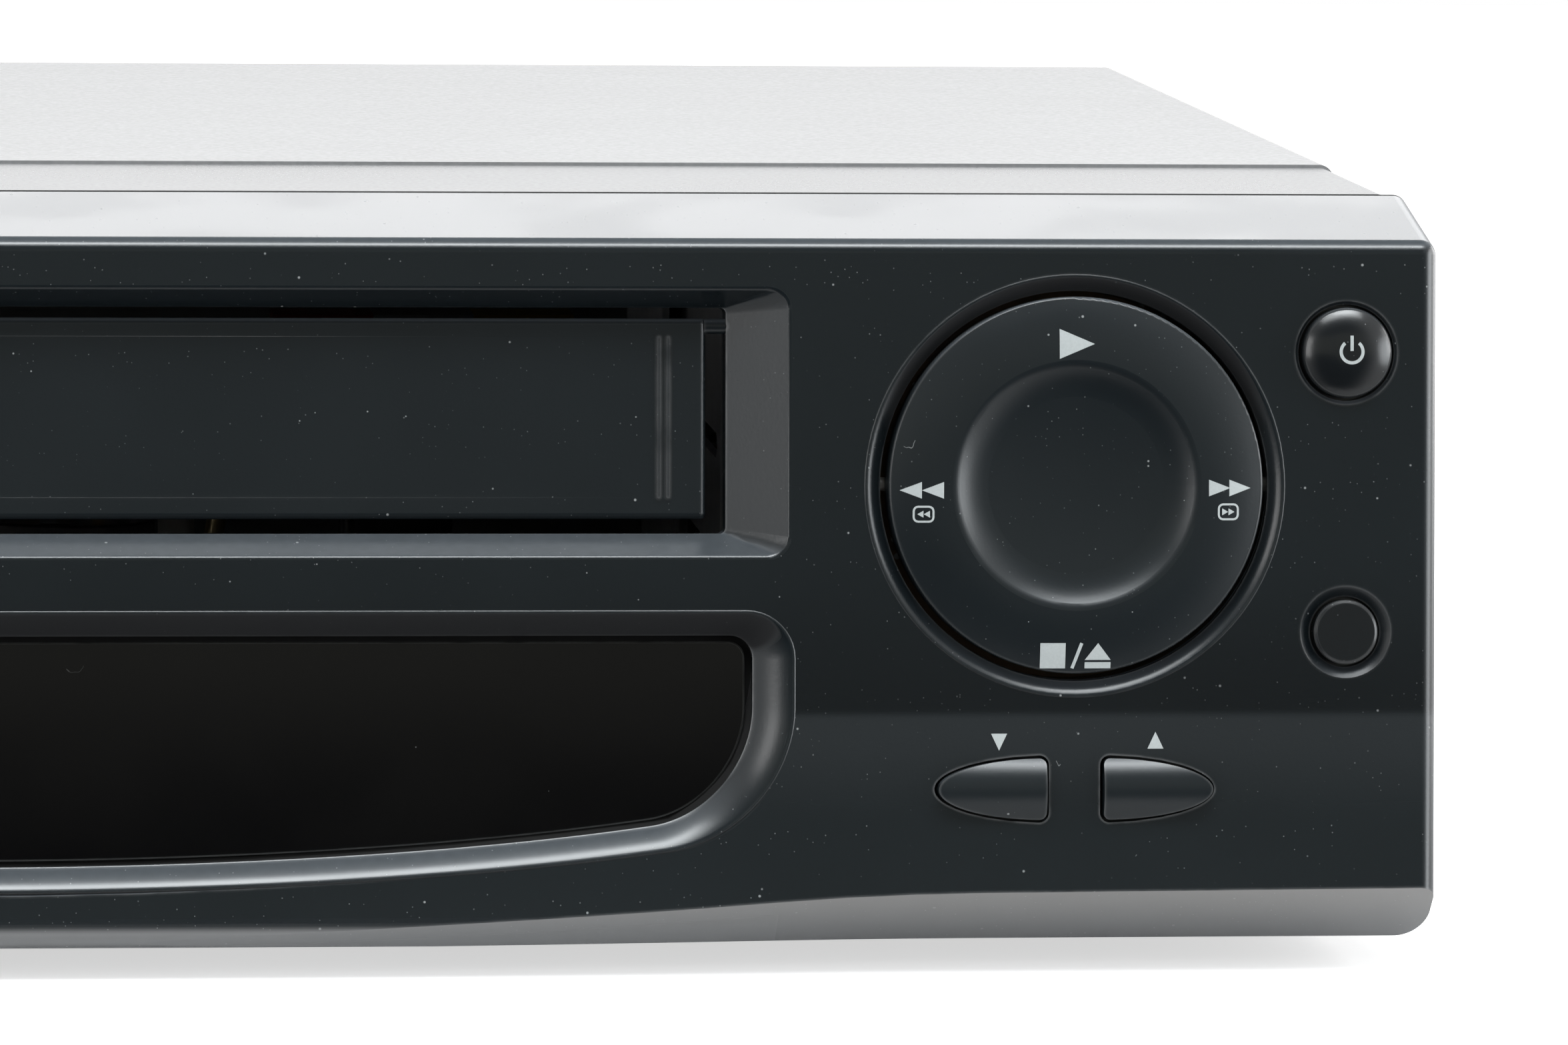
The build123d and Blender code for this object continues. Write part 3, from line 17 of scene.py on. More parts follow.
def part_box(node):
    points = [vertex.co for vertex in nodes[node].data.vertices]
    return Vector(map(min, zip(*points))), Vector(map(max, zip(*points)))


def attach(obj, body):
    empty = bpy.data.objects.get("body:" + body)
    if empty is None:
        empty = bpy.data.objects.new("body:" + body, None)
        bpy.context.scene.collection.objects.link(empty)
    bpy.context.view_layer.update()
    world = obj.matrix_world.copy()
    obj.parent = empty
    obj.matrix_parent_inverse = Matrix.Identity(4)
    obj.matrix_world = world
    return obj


MM = 0.001
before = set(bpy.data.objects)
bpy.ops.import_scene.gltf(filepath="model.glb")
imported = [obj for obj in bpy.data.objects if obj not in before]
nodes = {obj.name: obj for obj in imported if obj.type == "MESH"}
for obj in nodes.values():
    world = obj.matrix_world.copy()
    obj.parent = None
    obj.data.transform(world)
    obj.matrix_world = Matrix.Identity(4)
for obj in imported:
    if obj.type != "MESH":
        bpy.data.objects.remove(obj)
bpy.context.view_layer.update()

# %% [markdown]
# ## The camera
#
# The photograph was taken with a long lens from a little above the machine, and it shows the
# right part of the front. Its upright lines stay upright, as with a shifted lens. A strong shift
# would stay on in every other view too, so we turn the camera by a few degrees instead, and give
# it the small roll that keeps the machine's top edge level in the picture.

# %% Place the camera
CAMERA_PLACE = Vector((-0.01265, -1.34111, 0.18881))
CAMERA_YAW = radians(5.6118)
CAMERA_PITCH = radians(6.1782)
CAMERA_ROLL = radians(0.5819)
CAMERA_LENS = 213.2
SENSOR_WIDTH = 36.0

camera_data = bpy.data.cameras.new("camera")
camera_data.lens = CAMERA_LENS
camera_data.sensor_width = SENSOR_WIDTH
camera_data.clip_start = 0.05
camera_data.clip_end = 50.0
camera = bpy.data.objects.new("camera", camera_data)
bpy.context.scene.collection.objects.link(camera)
turn = Matrix.Rotation(-CAMERA_YAW, 4, "Z")
tilt = Matrix.Rotation(radians(90) - CAMERA_PITCH, 4, "X")
roll = Matrix.Rotation(CAMERA_ROLL, 4, "Z")
camera.matrix_world = Matrix.Translation(CAMERA_PLACE) @ turn @ tilt @ roll
bpy.context.scene.camera = camera
print("camera looks along", [round(v, 3) for v in -camera.matrix_world.col[2].xyz])

# %% [markdown]
# ## Building shader nodes in code
#
# A material is a small tree of nodes. Nodes could be placed one by one in the editor. A few
# helpers do the same in code and keep it readable: one adds a node and sets its values, one joins
# two sockets, and the others do sums and mixes or read the surface.

# %% Helpers that add and join nodes
def add_node(tree, kind, settings=None, **inputs):
    """A shader node with its settings and the values of its unlinked sockets."""
    made = tree.nodes.new("ShaderNode" + kind)
    for name, value in (settings or {}).items():
        setattr(made, name, value)
    for name, value in inputs.items():
        made.inputs[name.replace("_", " ")].default_value = value
    return made


def wire(tree, source, target):
    """Joins an output socket to an input socket."""
    tree.links.new(source, target)


def feed(tree, value, socket):
    """Gives a socket a number, a colour, or the output of another node."""
    if isinstance(value, bpy.types.NodeSocket):
        wire(tree, value, socket)
    elif isinstance(value, tuple) and len(value) == 3 and socket.type == "RGBA":
        socket.default_value = (*value, 1.0)
    else:
        socket.default_value = value


def complete(tree, shader, **values):
    """Feeds inputs of a shader. Their names are written with underscores for spaces."""
    for label, value in values.items():
        feed(tree, value, shader.inputs[label.replace("_", " ")])


def start_finish(name, **constants):
    """A material with a Principled shader. Values that are the same all over go on the shader."""
    material = bpy.data.materials.new(name)
    material.use_nodes = True
    shader = material.node_tree.nodes["Principled BSDF"]
    complete(material.node_tree, shader, **constants)
    return material, material.node_tree, shader


# %% Helpers for sums, mixes and places
def maths(tree, operation, first, second=None, clamp=False):
    """A Math node. Each value is a number or a socket, and its result is returned."""
    made = add_node(tree, "Math", {"operation": operation, "use_clamp": clamp})
    feed(tree, first, made.inputs[0])
    if second is not None:
        feed(tree, second, made.inputs[1])
    return made.outputs[0]


def times(tree, first, second):
    """The product of two values."""
    return maths(tree, "MULTIPLY", first, second)


def vector_maths(tree, operation, first, second=None):
    """A Vector Math node. Each value is a vector or a socket, and all its outputs are returned."""
    made = add_node(tree, "VectorMath", {"operation": operation})
    feed(tree, first, made.inputs[0])
    if second is not None:
        feed(tree, second, made.inputs[1])
    return made.outputs


def ramp(tree, value, low, high, out_low=0.0, out_high=1.0):
    """Maps a value smoothly from one range to another, clamped at both ends."""
    made = add_node(tree, "MapRange", {"interpolation_type": "SMOOTHSTEP"})
    feed(tree, value, made.inputs["Value"])
    limits = {"From Min": low, "From Max": high, "To Min": out_low, "To Max": out_high}
    for name, limit in limits.items():
        feed(tree, limit, made.inputs[name])
    return made.outputs["Result"]


def blend_colours(tree, factor, first, second):
    """Mixes two colours, each a tuple or a socket, by a factor."""
    made = add_node(tree, "Mix", {"data_type": "RGBA"})
    feed(tree, factor, made.inputs["Factor"])
    colours = [s for s in made.inputs if s.type == "RGBA"]
    feed(tree, first, colours[0])
    feed(tree, second, colours[1])
    return [s for s in made.outputs if s.type == "RGBA"][0]


def parts_of(tree, vector):
    """The X, Y and Z of a vector."""
    split = add_node(tree, "SeparateXYZ")
    wire(tree, vector, split.inputs[0])
    return split.outputs


def object_point(tree):
    """A surface point in the machine's own frame, as one vector."""
    return add_node(tree, "TexCoord").outputs["Object"]


def object_place(tree):
    """The X, Y and Z of a surface point in the machine's own frame."""
    return parts_of(tree, object_point(tree))


def surface_normal(tree):
    """The X, Y and Z of the direction that the surface faces."""
    return parts_of(tree, add_node(tree, "NewGeometry").outputs["Normal"])


# %% [markdown]
# ## A plain studio
#
# The photograph has white paper under and behind the machine. More lamp light would make a grey
# sheet white, but would also bleach the machine. So the paper glows white for the camera alone, and
# less near the machine, where its shadow lies. It ends a little way in front, where the camera
# never looks, so that the front doesn't mirror it.

# %% The paper
PAPER_HALF = 1.25
PAPER_MIDDLE_Y = 1.03
HALF_WIDTH = 0.19
HALF_DEPTH = 0.155
SHADOW_START = 0.01
SHADOW_REACH = 0.11
SHADOW_GLOW = 0.62
bpy.ops.object.select_all(action="DESELECT")
bpy.ops.mesh.primitive_plane_add(size=2 * PAPER_HALF, location=(0, PAPER_MIDDLE_Y, 0))
floor = bpy.context.object
floor.name = "studio_floor"
bpy.ops.object.transform_apply(location=True, rotation=False, scale=False)

studio_paper, tree, shader = start_finish(
    "studio_paper", Base_Color=(0.80, 0.80, 0.80), Roughness=0.9, Specular_IOR_Level=0.1
)
complete(tree, shader, Emission_Color=(1.0, 1.0, 1.0))
across, along, _ = object_place(tree)
out_x = maths(tree, "SUBTRACT", maths(tree, "ABSOLUTE", across), HALF_WIDTH)
out_y = maths(tree, "SUBTRACT", maths(tree, "ABSOLUTE", along), HALF_DEPTH)
away = maths(tree, "MAXIMUM", out_x, out_y)
far = ramp(tree, away, SHADOW_START, SHADOW_REACH, SHADOW_GLOW, 1.0)
camera_ray = add_node(tree, "LightPath").outputs["Is Camera Ray"]
complete(tree, shader, Emission_Strength=times(tree, far, camera_ray))
floor.data.materials.append(studio_paper)
print("paper reaches from", PAPER_MIDDLE_Y - PAPER_HALF, "to", PAPER_MIDDLE_Y + PAPER_HALF, "m in Y")

# %% [markdown]
# A soft light high in front draws the bright lines along the top edges, a low one behind turns the
# grazing top surfaces almost white, and others stand at both sides. Small lamps would draw hard
# spots, so we use area lamps, which behave like softboxes.

# %% The lamps
MACHINE_MIDDLE = Vector((0.0, 0.0, 0.05))
WHITE = (1.0, 1.0, 1.0)
COOL = (0.95, 0.985, 1.0)


def softbox(name, azimuth, elevation, distance, width, height, radiance, colour=WHITE):
    """A rectangular lamp that faces the machine from a direction, in degrees from the front.

    Its power is worked out from its brightness, so that its size can change by itself."""
    data = bpy.data.lights.new(name, "AREA")
    data.shape = "RECTANGLE"
    data.size = width
    data.size_y = height
    data.energy = radiance * pi * width * height
    data.color = colour
    lamp = bpy.data.objects.new(name, data)
    bpy.context.scene.collection.objects.link(lamp)
    turned, raised = radians(azimuth), radians(elevation)
    outwards = Vector((cos(raised) * sin(turned), -cos(raised) * cos(turned), sin(raised)))
    lamp.location = MACHINE_MIDDLE + outwards * distance
    lamp.rotation_mode = "QUATERNION"
    lamp.rotation_quaternion = (-outwards).to_track_quat("-Z", "Y")
    lamp.visible_camera = False
    print(name, "power in watts:", round(data.energy, 1))


# Direction and height in degrees, then distance, width, height, brightness and colour.
softbox("high_front_softbox", 8, 60, 1.7, 1.5, 0.60, 7.0, COOL)
softbox("rear_softbox", 180, 25, 1.8, 1.9, 0.50, 2.7)
softbox("left_softbox", -43, 12, 1.7, 0.34, 0.80, 4.5)
softbox("right_softbox", 80, 14, 1.6, 0.80, 0.80, 5.0)
softbox("far_right_softbox", 113, 10, 1.6, 0.85, 0.95, 5.5)

# %% [markdown]
# The world casts a plain grey light, and only its reflections have shapes, as the room's had: a
# dim room straight ahead, which keeps the front charcoal, a dark patch overhead, a narrow strip
# light high in front, a bright wall at the right, and pale walls elsewhere. A picture of a room
# could give them, but a few soft patches are enough. The camera sees plain white.

# %% Patches of sky
def squeezed(tree, direction, factors):
    """A direction squeezed along the axes, so that a round patch of it comes out stretched."""
    return vector_maths(tree, "NORMALIZE", vector_maths(tree, "MULTIPLY", direction, factors)[0])[0]


def patch(tree, direction, centre, inner, outer):
    """How far a direction lies inside a soft round patch of sky, from 0 to 1. Sizes in degrees."""
    agree = vector_maths(tree, "DOT_PRODUCT", direction, Vector(centre).normalized())["Value"]
    return ramp(tree, agree, cos(radians(outer)), cos(radians(inner)))


# %% The world
DARK_TABLE = (0.014, 0.020, 0.026)
ROOM = (0.34, 0.345, 0.31)
CEILING = (0.08, 0.085, 0.09)
PALE_WALLS = (0.98, 0.98, 0.98)
OVERHEAD = (0.10, 0.12, 0.13)
STRIP_LIGHT = (14.0, 14.7, 15.0)
RIGHT_WALL = (6.5, 6.8, 7.0)
PLAIN_LIGHT = (0.36, 0.36, 0.365)
STRIP_RISE = radians(66)
WALL_TURN = radians(64)
world = bpy.data.worlds.new("studio")
bpy.context.scene.world = world
world.use_nodes = True
tree = world.node_tree
tree.nodes.clear()
direction = add_node(tree, "TexCoord").outputs["Generated"]
rise = parts_of(tree, direction)["Z"]
room = blend_colours(tree, ramp(tree, rise, 0.030, 0.066), DARK_TABLE, ROOM)
room = blend_colours(tree, ramp(tree, rise, 0.34, 0.50), room, CEILING)
ahead = patch(tree, squeezed(tree, direction, (1.0, 1.0, 0.55)), (-0.10, -1.0, 0.0), 22, 56)
reflected = blend_colours(tree, ahead, PALE_WALLS, room)
overhead = patch(tree, direction, (0.0, 0.50, 1.0), 14, 36)
reflected = blend_colours(tree, overhead, reflected, OVERHEAD)
narrowed = squeezed(tree, direction, (0.25, 1.0, 1.0))
strip_light = patch(tree, narrowed, (0.0, -cos(STRIP_RISE), sin(STRIP_RISE)), 3, 7)
reflected = blend_colours(tree, strip_light, reflected, STRIP_LIGHT)
right_wall = patch(tree, direction, (sin(WALL_TURN), -cos(WALL_TURN), 0.07), 5, 20)
reflected = blend_colours(tree, right_wall, reflected, RIGHT_WALL)
path = add_node(tree, "LightPath").outputs
seen = blend_colours(tree, path["Is Glossy Ray"], PLAIN_LIGHT, reflected)
direct = maths(tree, "MAXIMUM", path["Is Camera Ray"], path["Is Transmission Ray"])
seen = blend_colours(tree, direct, seen, WHITE)
background = add_node(tree, "Background")
wire(tree, seen, background.inputs["Color"])
wire(tree, background.outputs[0], add_node(tree, "OutputWorld").inputs[0])
bpy.context.scene.view_settings.view_transform = "Standard"
print("the world has", len(tree.nodes), "nodes")

# %% [markdown]
# ## Effects that several finishes share
#
# Old plastic and sheet metal look real through small faults: the sparked texture of the mould,
# dust, lint and fine scratches, edges rubbed bright, and the dull patches that hands leave. Each of
# these is made once as a node group with named inputs, and every material places it with its own
# values. All patterns are measured in metres on the machine, so they keep their real size.

# %% Starting and using an effect
def new_effect(name, inputs, outputs):
    """An empty node group. Inputs are numbers by name, and outputs are named too."""
    effect = bpy.data.node_groups.new(name, "ShaderNodeTree")
    for label, value in inputs.items():
        socket = effect.interface.new_socket(name=label, in_out="INPUT", socket_type="NodeSocketFloat")
        socket.default_value = value
    for label in outputs:
        effect.interface.new_socket(name=label, in_out="OUTPUT", socket_type="NodeSocketFloat")
    given = effect.nodes.new("NodeGroupInput").outputs
    result = effect.nodes.new("NodeGroupOutput").inputs
    print("effect", name, "takes", ", ".join(inputs), "and gives", ", ".join(outputs))
    return effect, given, result


def use_effect(tree, effect, **values):
    """Places an effect in a material and returns its outputs."""
    placed = tree.nodes.new("ShaderNodeGroup")
    placed.node_tree = effect
    for label, value in values.items():
        placed.inputs[label].default_value = value
    return placed.outputs


def noise(tree, size, detail=2.0, stretch=(1, 1, 1)):
    """Noise on the machine's own coordinates, with blobs of about the given size in metres."""
    moved = add_node(tree, "Mapping", Scale=stretch)
    wire(tree, object_point(tree), moved.inputs["Vector"])
    made = add_node(tree, "TexNoise", Detail=detail)
    wire(tree, moved.outputs[0], made.inputs["Vector"])
    feed(tree, maths(tree, "DIVIDE", 1.0, size), made.inputs["Scale"])
    return made.outputs["Fac"]


def cells(tree, vector, spacing, feature="F1", randomness=1.0):
    """Voronoi cells round scattered points, with their spacing in metres. All outputs are returned."""
    made = add_node(tree, "TexVoronoi", {"feature": feature}, Randomness=randomness)
    wire(tree, vector, made.inputs["Vector"])
    feed(tree, maths(tree, "DIVIDE", 1.0, spacing), made.inputs["Scale"])
    return made.outputs


def lots(tree, colour):
    """Three random numbers for each cell, from the random colour that the cell has."""
    split = add_node(tree, "SeparateColor")
    wire(tree, colour, split.inputs[0])
    return split.outputs


# %% Moulded grain
moulded_grain, given, result = new_effect("moulded_grain", {"Size": 0.0004}, ("Height", "Mottle"))
tree = moulded_grain
wire(tree, noise(tree, given["Size"], 3.0), result["Height"])
wire(tree, noise(tree, times(tree, given["Size"], 60.0), 4.0), result["Mottle"])

# %% Dust specks
dust_specks, given, result = new_effect(
    "dust_specks", {"Spacing": 0.003, "Speck": 0.0002, "Share": 0.3}, ("Mask",)
)
tree = dust_specks
speck = cells(tree, object_point(tree), given["Spacing"])
chance = lots(tree, speck["Color"])
taken = maths(tree, "LESS_THAN", chance[0], given["Share"])
reach = maths(tree, "DIVIDE", given["Speck"], given["Spacing"])
reach = times(tree, reach, maths(tree, "ADD", chance[1], 0.4))
core = times(tree, reach, 0.4)
inside = ramp(tree, speck["Distance"], reach, core)
wire(tree, times(tree, inside, taken), result["Mask"])

# %% Lint curls
# Each Voronoi cell may hold one short curl: a piece of a circle round the cell's own point, kept on
# one side only, and bent a little by noise.
CURL_RADII = (0.0005, 0.0015)
CURL_BEND = 0.0016
CURL_CUT = 0.00012
lint_curls, given, result = new_effect(
    "lint_curls", {"Spacing": 0.014, "Width": 0.00009, "Share": 0.35}, ("Mask",)
)
tree = lint_curls
bend = add_node(tree, "TexNoise", Scale=900.0, Detail=1.0)
wire(tree, object_point(tree), bend.inputs["Vector"])
push = add_node(tree, "VectorMath", {"operation": "SCALE"}, Scale=CURL_BEND)
wire(tree, bend.outputs["Color"], push.inputs[0])
bent = vector_maths(tree, "ADD", object_point(tree), push.outputs[0])[0]
curl = cells(tree, bent, given["Spacing"])
chance = lots(tree, curl["Color"])
from_point = vector_maths(tree, "SUBTRACT", bent, curl["Position"])[0]
reach = vector_maths(tree, "LENGTH", from_point)["Value"]
curl_radius = ramp(tree, chance[1], 0.0, 1.0, *CURL_RADII)
off_line = maths(tree, "ABSOLUTE", maths(tree, "SUBTRACT", reach, curl_radius))
line = ramp(tree, off_line, given["Width"], 0.0)
heading = vector_maths(tree, "SUBTRACT", curl["Color"], (0.5, 0.5, 0.5))[0]
side = vector_maths(tree, "DOT_PRODUCT", from_point, heading)["Value"]
line = times(tree, line, maths(tree, "GREATER_THAN", side, CURL_CUT))
taken = maths(tree, "LESS_THAN", chance[2], given["Share"])
wire(tree, times(tree, line, taken), result["Mask"])

# %% Rubbed edges
# The Bevel node gives the normal that the edge would have if it were rounded. Where that differs
# from the real normal, the surface is near an edge.
rubbed_edges, given, result = new_effect("rubbed_edges", {"Radius": 0.0006, "Wear": 0.5}, ("Mask",))
tree = rubbed_edges
rounded = add_node(tree, "Bevel", {"samples": 6})
wire(tree, given["Radius"], rounded.inputs["Radius"])
flat = add_node(tree, "NewGeometry").outputs["Normal"]
agree = vector_maths(tree, "DOT_PRODUCT", rounded.outputs[0], flat)["Value"]
edge = ramp(tree, agree, 0.995, 0.92)
patchy = ramp(tree, noise(tree, 0.004, 3.0), 0.25, 0.55, 0.35, 1.0)
worn = times(tree, edge, patchy)
wire(tree, times(tree, worn, given["Wear"]), result["Mask"])

# %% Hand marks
hand_marks, given, result = new_effect("hand_marks", {"Size": 0.02}, ("Mask",))
tree = hand_marks
wire(tree, ramp(tree, noise(tree, given["Size"], 2.0), 0.30, 0.72), result["Mask"])

# %% Settled dust
# Dust lies on what faces up, so the mask grows with the upward part of the normal. The same part
# is given out by itself, because grain is calmer there.
settled_dust, given, result = new_effect(
    "settled_dust", {"Start": 0.35, "Full": 0.85, "Cover": 0.3}, ("Mask", "Facing")
)
tree = settled_dust
upward = ramp(tree, surface_normal(tree)["Z"], given["Start"], given["Full"])
wire(tree, upward, result["Facing"])
uneven = ramp(tree, noise(tree, 0.0016, 3.0), 0.25, 0.75, 0.92, 1.04)
lying = times(tree, upward, uneven)
wire(tree, times(tree, lying, given["Cover"]), result["Mask"])

# %% Sheet grain
# Rolled sheet has a fine directional texture, so the noise is stretched along X.
sheet_grain, given, result = new_effect("sheet_grain", {"Size": 0.0006}, ("Height", "Tone"))
tree = sheet_grain
wire(tree, noise(tree, given["Size"], 2.0, (0.12, 1, 1)), result["Height"])
broad = times(tree, given["Size"], 25.0)
wire(tree, noise(tree, broad, 4.0, (0.5, 1, 1)), result["Tone"])

# %% Turned rings
# Fine rings round an upright axis, as a lathe tool leaves them.
turned_rings, given, result = new_effect(
    "turned_rings", {"Centre X": 0.0, "Centre Y": 0.0, "Pitch": 0.0004}, ("Height",)
)
tree = turned_rings
ring_x, ring_y, _ = object_place(tree)
ring_x = maths(tree, "POWER", maths(tree, "SUBTRACT", ring_x, given["Centre X"]), 2.0)
ring_y = maths(tree, "POWER", maths(tree, "SUBTRACT", ring_y, given["Centre Y"]), 2.0)
radius = maths(tree, "SQRT", maths(tree, "ADD", ring_x, ring_y))
phase = times(tree, maths(tree, "DIVIDE", radius, given["Pitch"]), 2 * pi)
wire(tree, maths(tree, "SINE", phase), result["Height"])

# %% [markdown]
# ## The charcoal mouldings
#
# The front, the flap, the dial and the buttons are one kind of plastic: charcoal, satin, a little
# blue, with the sparked grain of the mould. They differ in gloss and in how much dust they hold.
# A scanned texture could carry the grain, but noise keeps its size on every piece. One function
# makes the finish, and each moulding gets its own values.

# %% Moulded plastic
CHARCOAL = (0.0085, 0.0125, 0.0150)
SETTLED_TONE = (0.25, 0.28, 0.31)
LOOSE_TONE = (0.38, 0.40, 0.40)
GRAIN_SIZE = 0.0004


def add_relief(tree, shader, height, depth):
    """Bumps the surface by a height from 0 to 1, with a depth in metres."""
    bump = add_node(tree, "Bump", Strength=1.0, Distance=depth)
    wire(tree, height, bump.inputs["Height"])
    wire(tree, bump.outputs[0], shader.inputs["Normal"])


def give(finish, *names):
    """Puts a finish on nodes of the frame."""
    for name in names:
        nodes[name].data.materials.clear()
        nodes[name].data.materials.append(finish)
    print(finish.name, "->", ", ".join(names))


def moulding(name, colour, roughness, depth=0.000008, dust=0.3, lint=0.3, wear=0.35, settled=0.3):
    """Moulded plastic with grain, dust, lint, hand marks and rubbed edges."""
    material, tree, shader = start_finish(name)
    texture = use_effect(tree, moulded_grain, Size=GRAIN_SIZE)
    marks = use_effect(tree, hand_marks, Size=0.025)
    specks = use_effect(tree, dust_specks, Spacing=0.0023, Speck=0.00017, Share=dust)
    fine = use_effect(tree, dust_specks, Spacing=0.0008, Speck=0.00009, Share=dust * 1.4)
    curls = use_effect(tree, lint_curls, Share=lint)
    edges = use_effect(tree, rubbed_edges, Wear=wear)
    lying = use_effect(tree, settled_dust, Cover=settled)
    darker = tuple(0.86 * c for c in colour)
    lighter = tuple(1.16 * c for c in colour)
    rubbed = tuple(0.20 + c for c in colour)
    tone = blend_colours(tree, texture["Mottle"], darker, lighter)
    tone = blend_colours(tree, edges["Mask"], tone, rubbed)
    tone = blend_colours(tree, lying["Mask"], tone, SETTLED_TONE)
    loose = maths(tree, "MAXIMUM", specks["Mask"], times(tree, fine["Mask"], 0.45))
    loose = maths(tree, "MAXIMUM", loose, times(tree, curls["Mask"], 0.7))
    tone = blend_colours(tree, times(tree, loose, 0.85), tone, LOOSE_TONE)
    gloss = ramp(tree, marks["Mask"], 0.0, 1.0, roughness - 0.012, roughness + 0.018)
    gloss = maths(tree, "ADD", gloss, times(tree, loose, 0.3), clamp=True)
    complete(tree, shader, Base_Color=tone, Roughness=gloss)
    calm = maths(tree, "SUBTRACT", 1.0, lying["Facing"])
    add_relief(tree, shader, times(tree, texture["Height"], calm), depth)
    return material, tree, shader, tone


# %% The flap, the dial and the buttons
control_plastic = moulding("control_plastic", CHARCOAL, 0.32)[0]
give(control_plastic, "cassette_flap", "transport_dial", "channel_down_button", "channel_up_button")
cap_plastic = moulding(
    "cap_plastic", (0.010, 0.012, 0.0135), 0.20, depth=0.000003, dust=0.2, lint=0.1, settled=0.1
)[0]
give(cap_plastic, "power_button", "record_button")

# %% [markdown]
# ## The front
#
# The front has things of its own. Under the smile-shaped edge the undercut is painted a lighter grey, as
# painted reflection of the floor, paler higher up and darker towards the floor. It is found by its
# direction and height: it faces down, near the floor. A faint crease runs across the face. Just above it
# the face is painted darker, as painted shade, and just below it paler, as painted reflection: two tints
# stand in for that light. Lamps could be placed to do it, but they would light the rest too.

# %% The strip's painted reflection and the painted tints
FACE_FOOT_Y = -155.355 * MM
FACE_LEAN = radians(5)
CREASE_Z = 34.4 * MM
STRIP_REFLECTION_LOW = (0.24, 0.245, 0.25)
STRIP_REFLECTION_HIGH = (0.30, 0.295, 0.29)
PAINTED_SHADE_TINT = (0.002, 0.003, 0.004)
PAINTED_REFLECTION_TINT = (0.16, 0.17, 0.18)
front_plastic, tree, shader, tone = moulding("front_plastic", CHARCOAL, 0.25, wear=0.6)
place = object_place(tree)
downwards = ramp(tree, surface_normal(tree)["Z"], -0.08, -0.34)
near_floor = ramp(tree, place["Z"], 16 * MM, 13.5 * MM)
undercut = times(tree, downwards, near_floor)
# painted reflection: the undercut is a lighter grey for the floor's light, paler higher up and darker
# towards the floor
strip_reflection_tone = blend_colours(tree, ramp(tree, place["Z"], 4 * MM, 12 * MM), STRIP_REFLECTION_LOW, STRIP_REFLECTION_HIGH)
above_crease = maths(tree, "SUBTRACT", place["Z"], CREASE_Z)
# painted shade above the crease and painted reflection below it
deep = ramp(tree, above_crease, 24 * MM, 0.0, 0.0, 0.62)
deep = times(tree, deep, ramp(tree, above_crease, -0.6 * MM, 0.8 * MM))
pale = ramp(tree, above_crease, -15 * MM, -1 * MM, 0.0, 0.07)
pale = times(tree, pale, ramp(tree, above_crease, 0.6 * MM, -0.8 * MM))
shade = blend_colours(tree, deep, tone, PAINTED_SHADE_TINT)
shade = blend_colours(tree, pale, shade, PAINTED_REFLECTION_TINT)
print("the face is tinted above and below", round(CREASE_Z / MM, 1), "mm")

# %% [markdown]
# Little light gets into the gap round the window and under the cover's edge. A deeper gap would
# show that by itself, but the frame's shape is fixed, so both places are painted black and dull.

# %% The dark gaps
COVER_FRONT_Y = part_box("top_cover")[0][1]
GAP_TOP = 49 * MM
GAP_HALF = 104 * MM
GAP_DEPTH = 2.5 * MM
UNLIT = (0.0015, 0.0015, 0.0015)
leaned = times(tree, maths(tree, "SUBTRACT", place["Y"], FACE_FOOT_Y), cos(FACE_LEAN))
behind_face = maths(tree, "SUBTRACT", leaned, times(tree, place["Z"], sin(FACE_LEAN)))
gap = ramp(tree, behind_face, GAP_DEPTH, GAP_DEPTH + 0.2 * MM)
gap = times(tree, gap, maths(tree, "LESS_THAN", place["Z"], GAP_TOP))
gap = times(tree, gap, maths(tree, "LESS_THAN", maths(tree, "ABSOLUTE", place["X"]), GAP_HALF))
seam = ramp(tree, place["Y"], COVER_FRONT_Y - 1.0 * MM, COVER_FRONT_Y - 0.8 * MM)
unlit = maths(tree, "MAXIMUM", gap, seam)
shade = blend_colours(tree, unlit, shade, UNLIT)
shade = blend_colours(tree, undercut, shade, strip_reflection_tone)
gloss = maths(tree, "MAXIMUM", shader.inputs["Roughness"].links[0].from_socket, unlit)
complete(tree, shader, Base_Color=shade, Roughness=gloss)
print("the seam lies at Y", round(COVER_FRONT_Y / MM, 2), "mm")

# %% [markdown]
# The crease itself is a bump that grows downwards from its height. It tips the normal up by one and
# a half degrees, as if the face below leaned back a little more. The grain is added on top.

# %% The crease
CREASE_SLOPE = 0.026
CREASE_ROUND = 1.2 * MM
below = add_node(tree, "Math", {"operation": "SMOOTH_MAX"})
feed(tree, maths(tree, "SUBTRACT", CREASE_Z, place["Z"]), below.inputs[0])
feed(tree, 0.0, below.inputs[1])
feed(tree, CREASE_ROUND, below.inputs[2])
crease = add_node(tree, "Bump", Strength=1.0, Distance=CREASE_SLOPE)
wire(tree, below.outputs[0], crease.inputs["Height"])
wire(tree, crease.outputs[0], shader.inputs["Normal"].links[0].from_node.inputs["Normal"])
give(front_plastic, "front_bezel")

# %% [markdown]
# ## The display window
#
# Smoked acrylic, almost black, and polished. Nothing shines through it when the machine is off, so
# it needs no real transparency: a dark colour under a gloss surface looks the same, and it keeps
# the render quick. Fine dust, wiping marks and rubbed edges show on it.

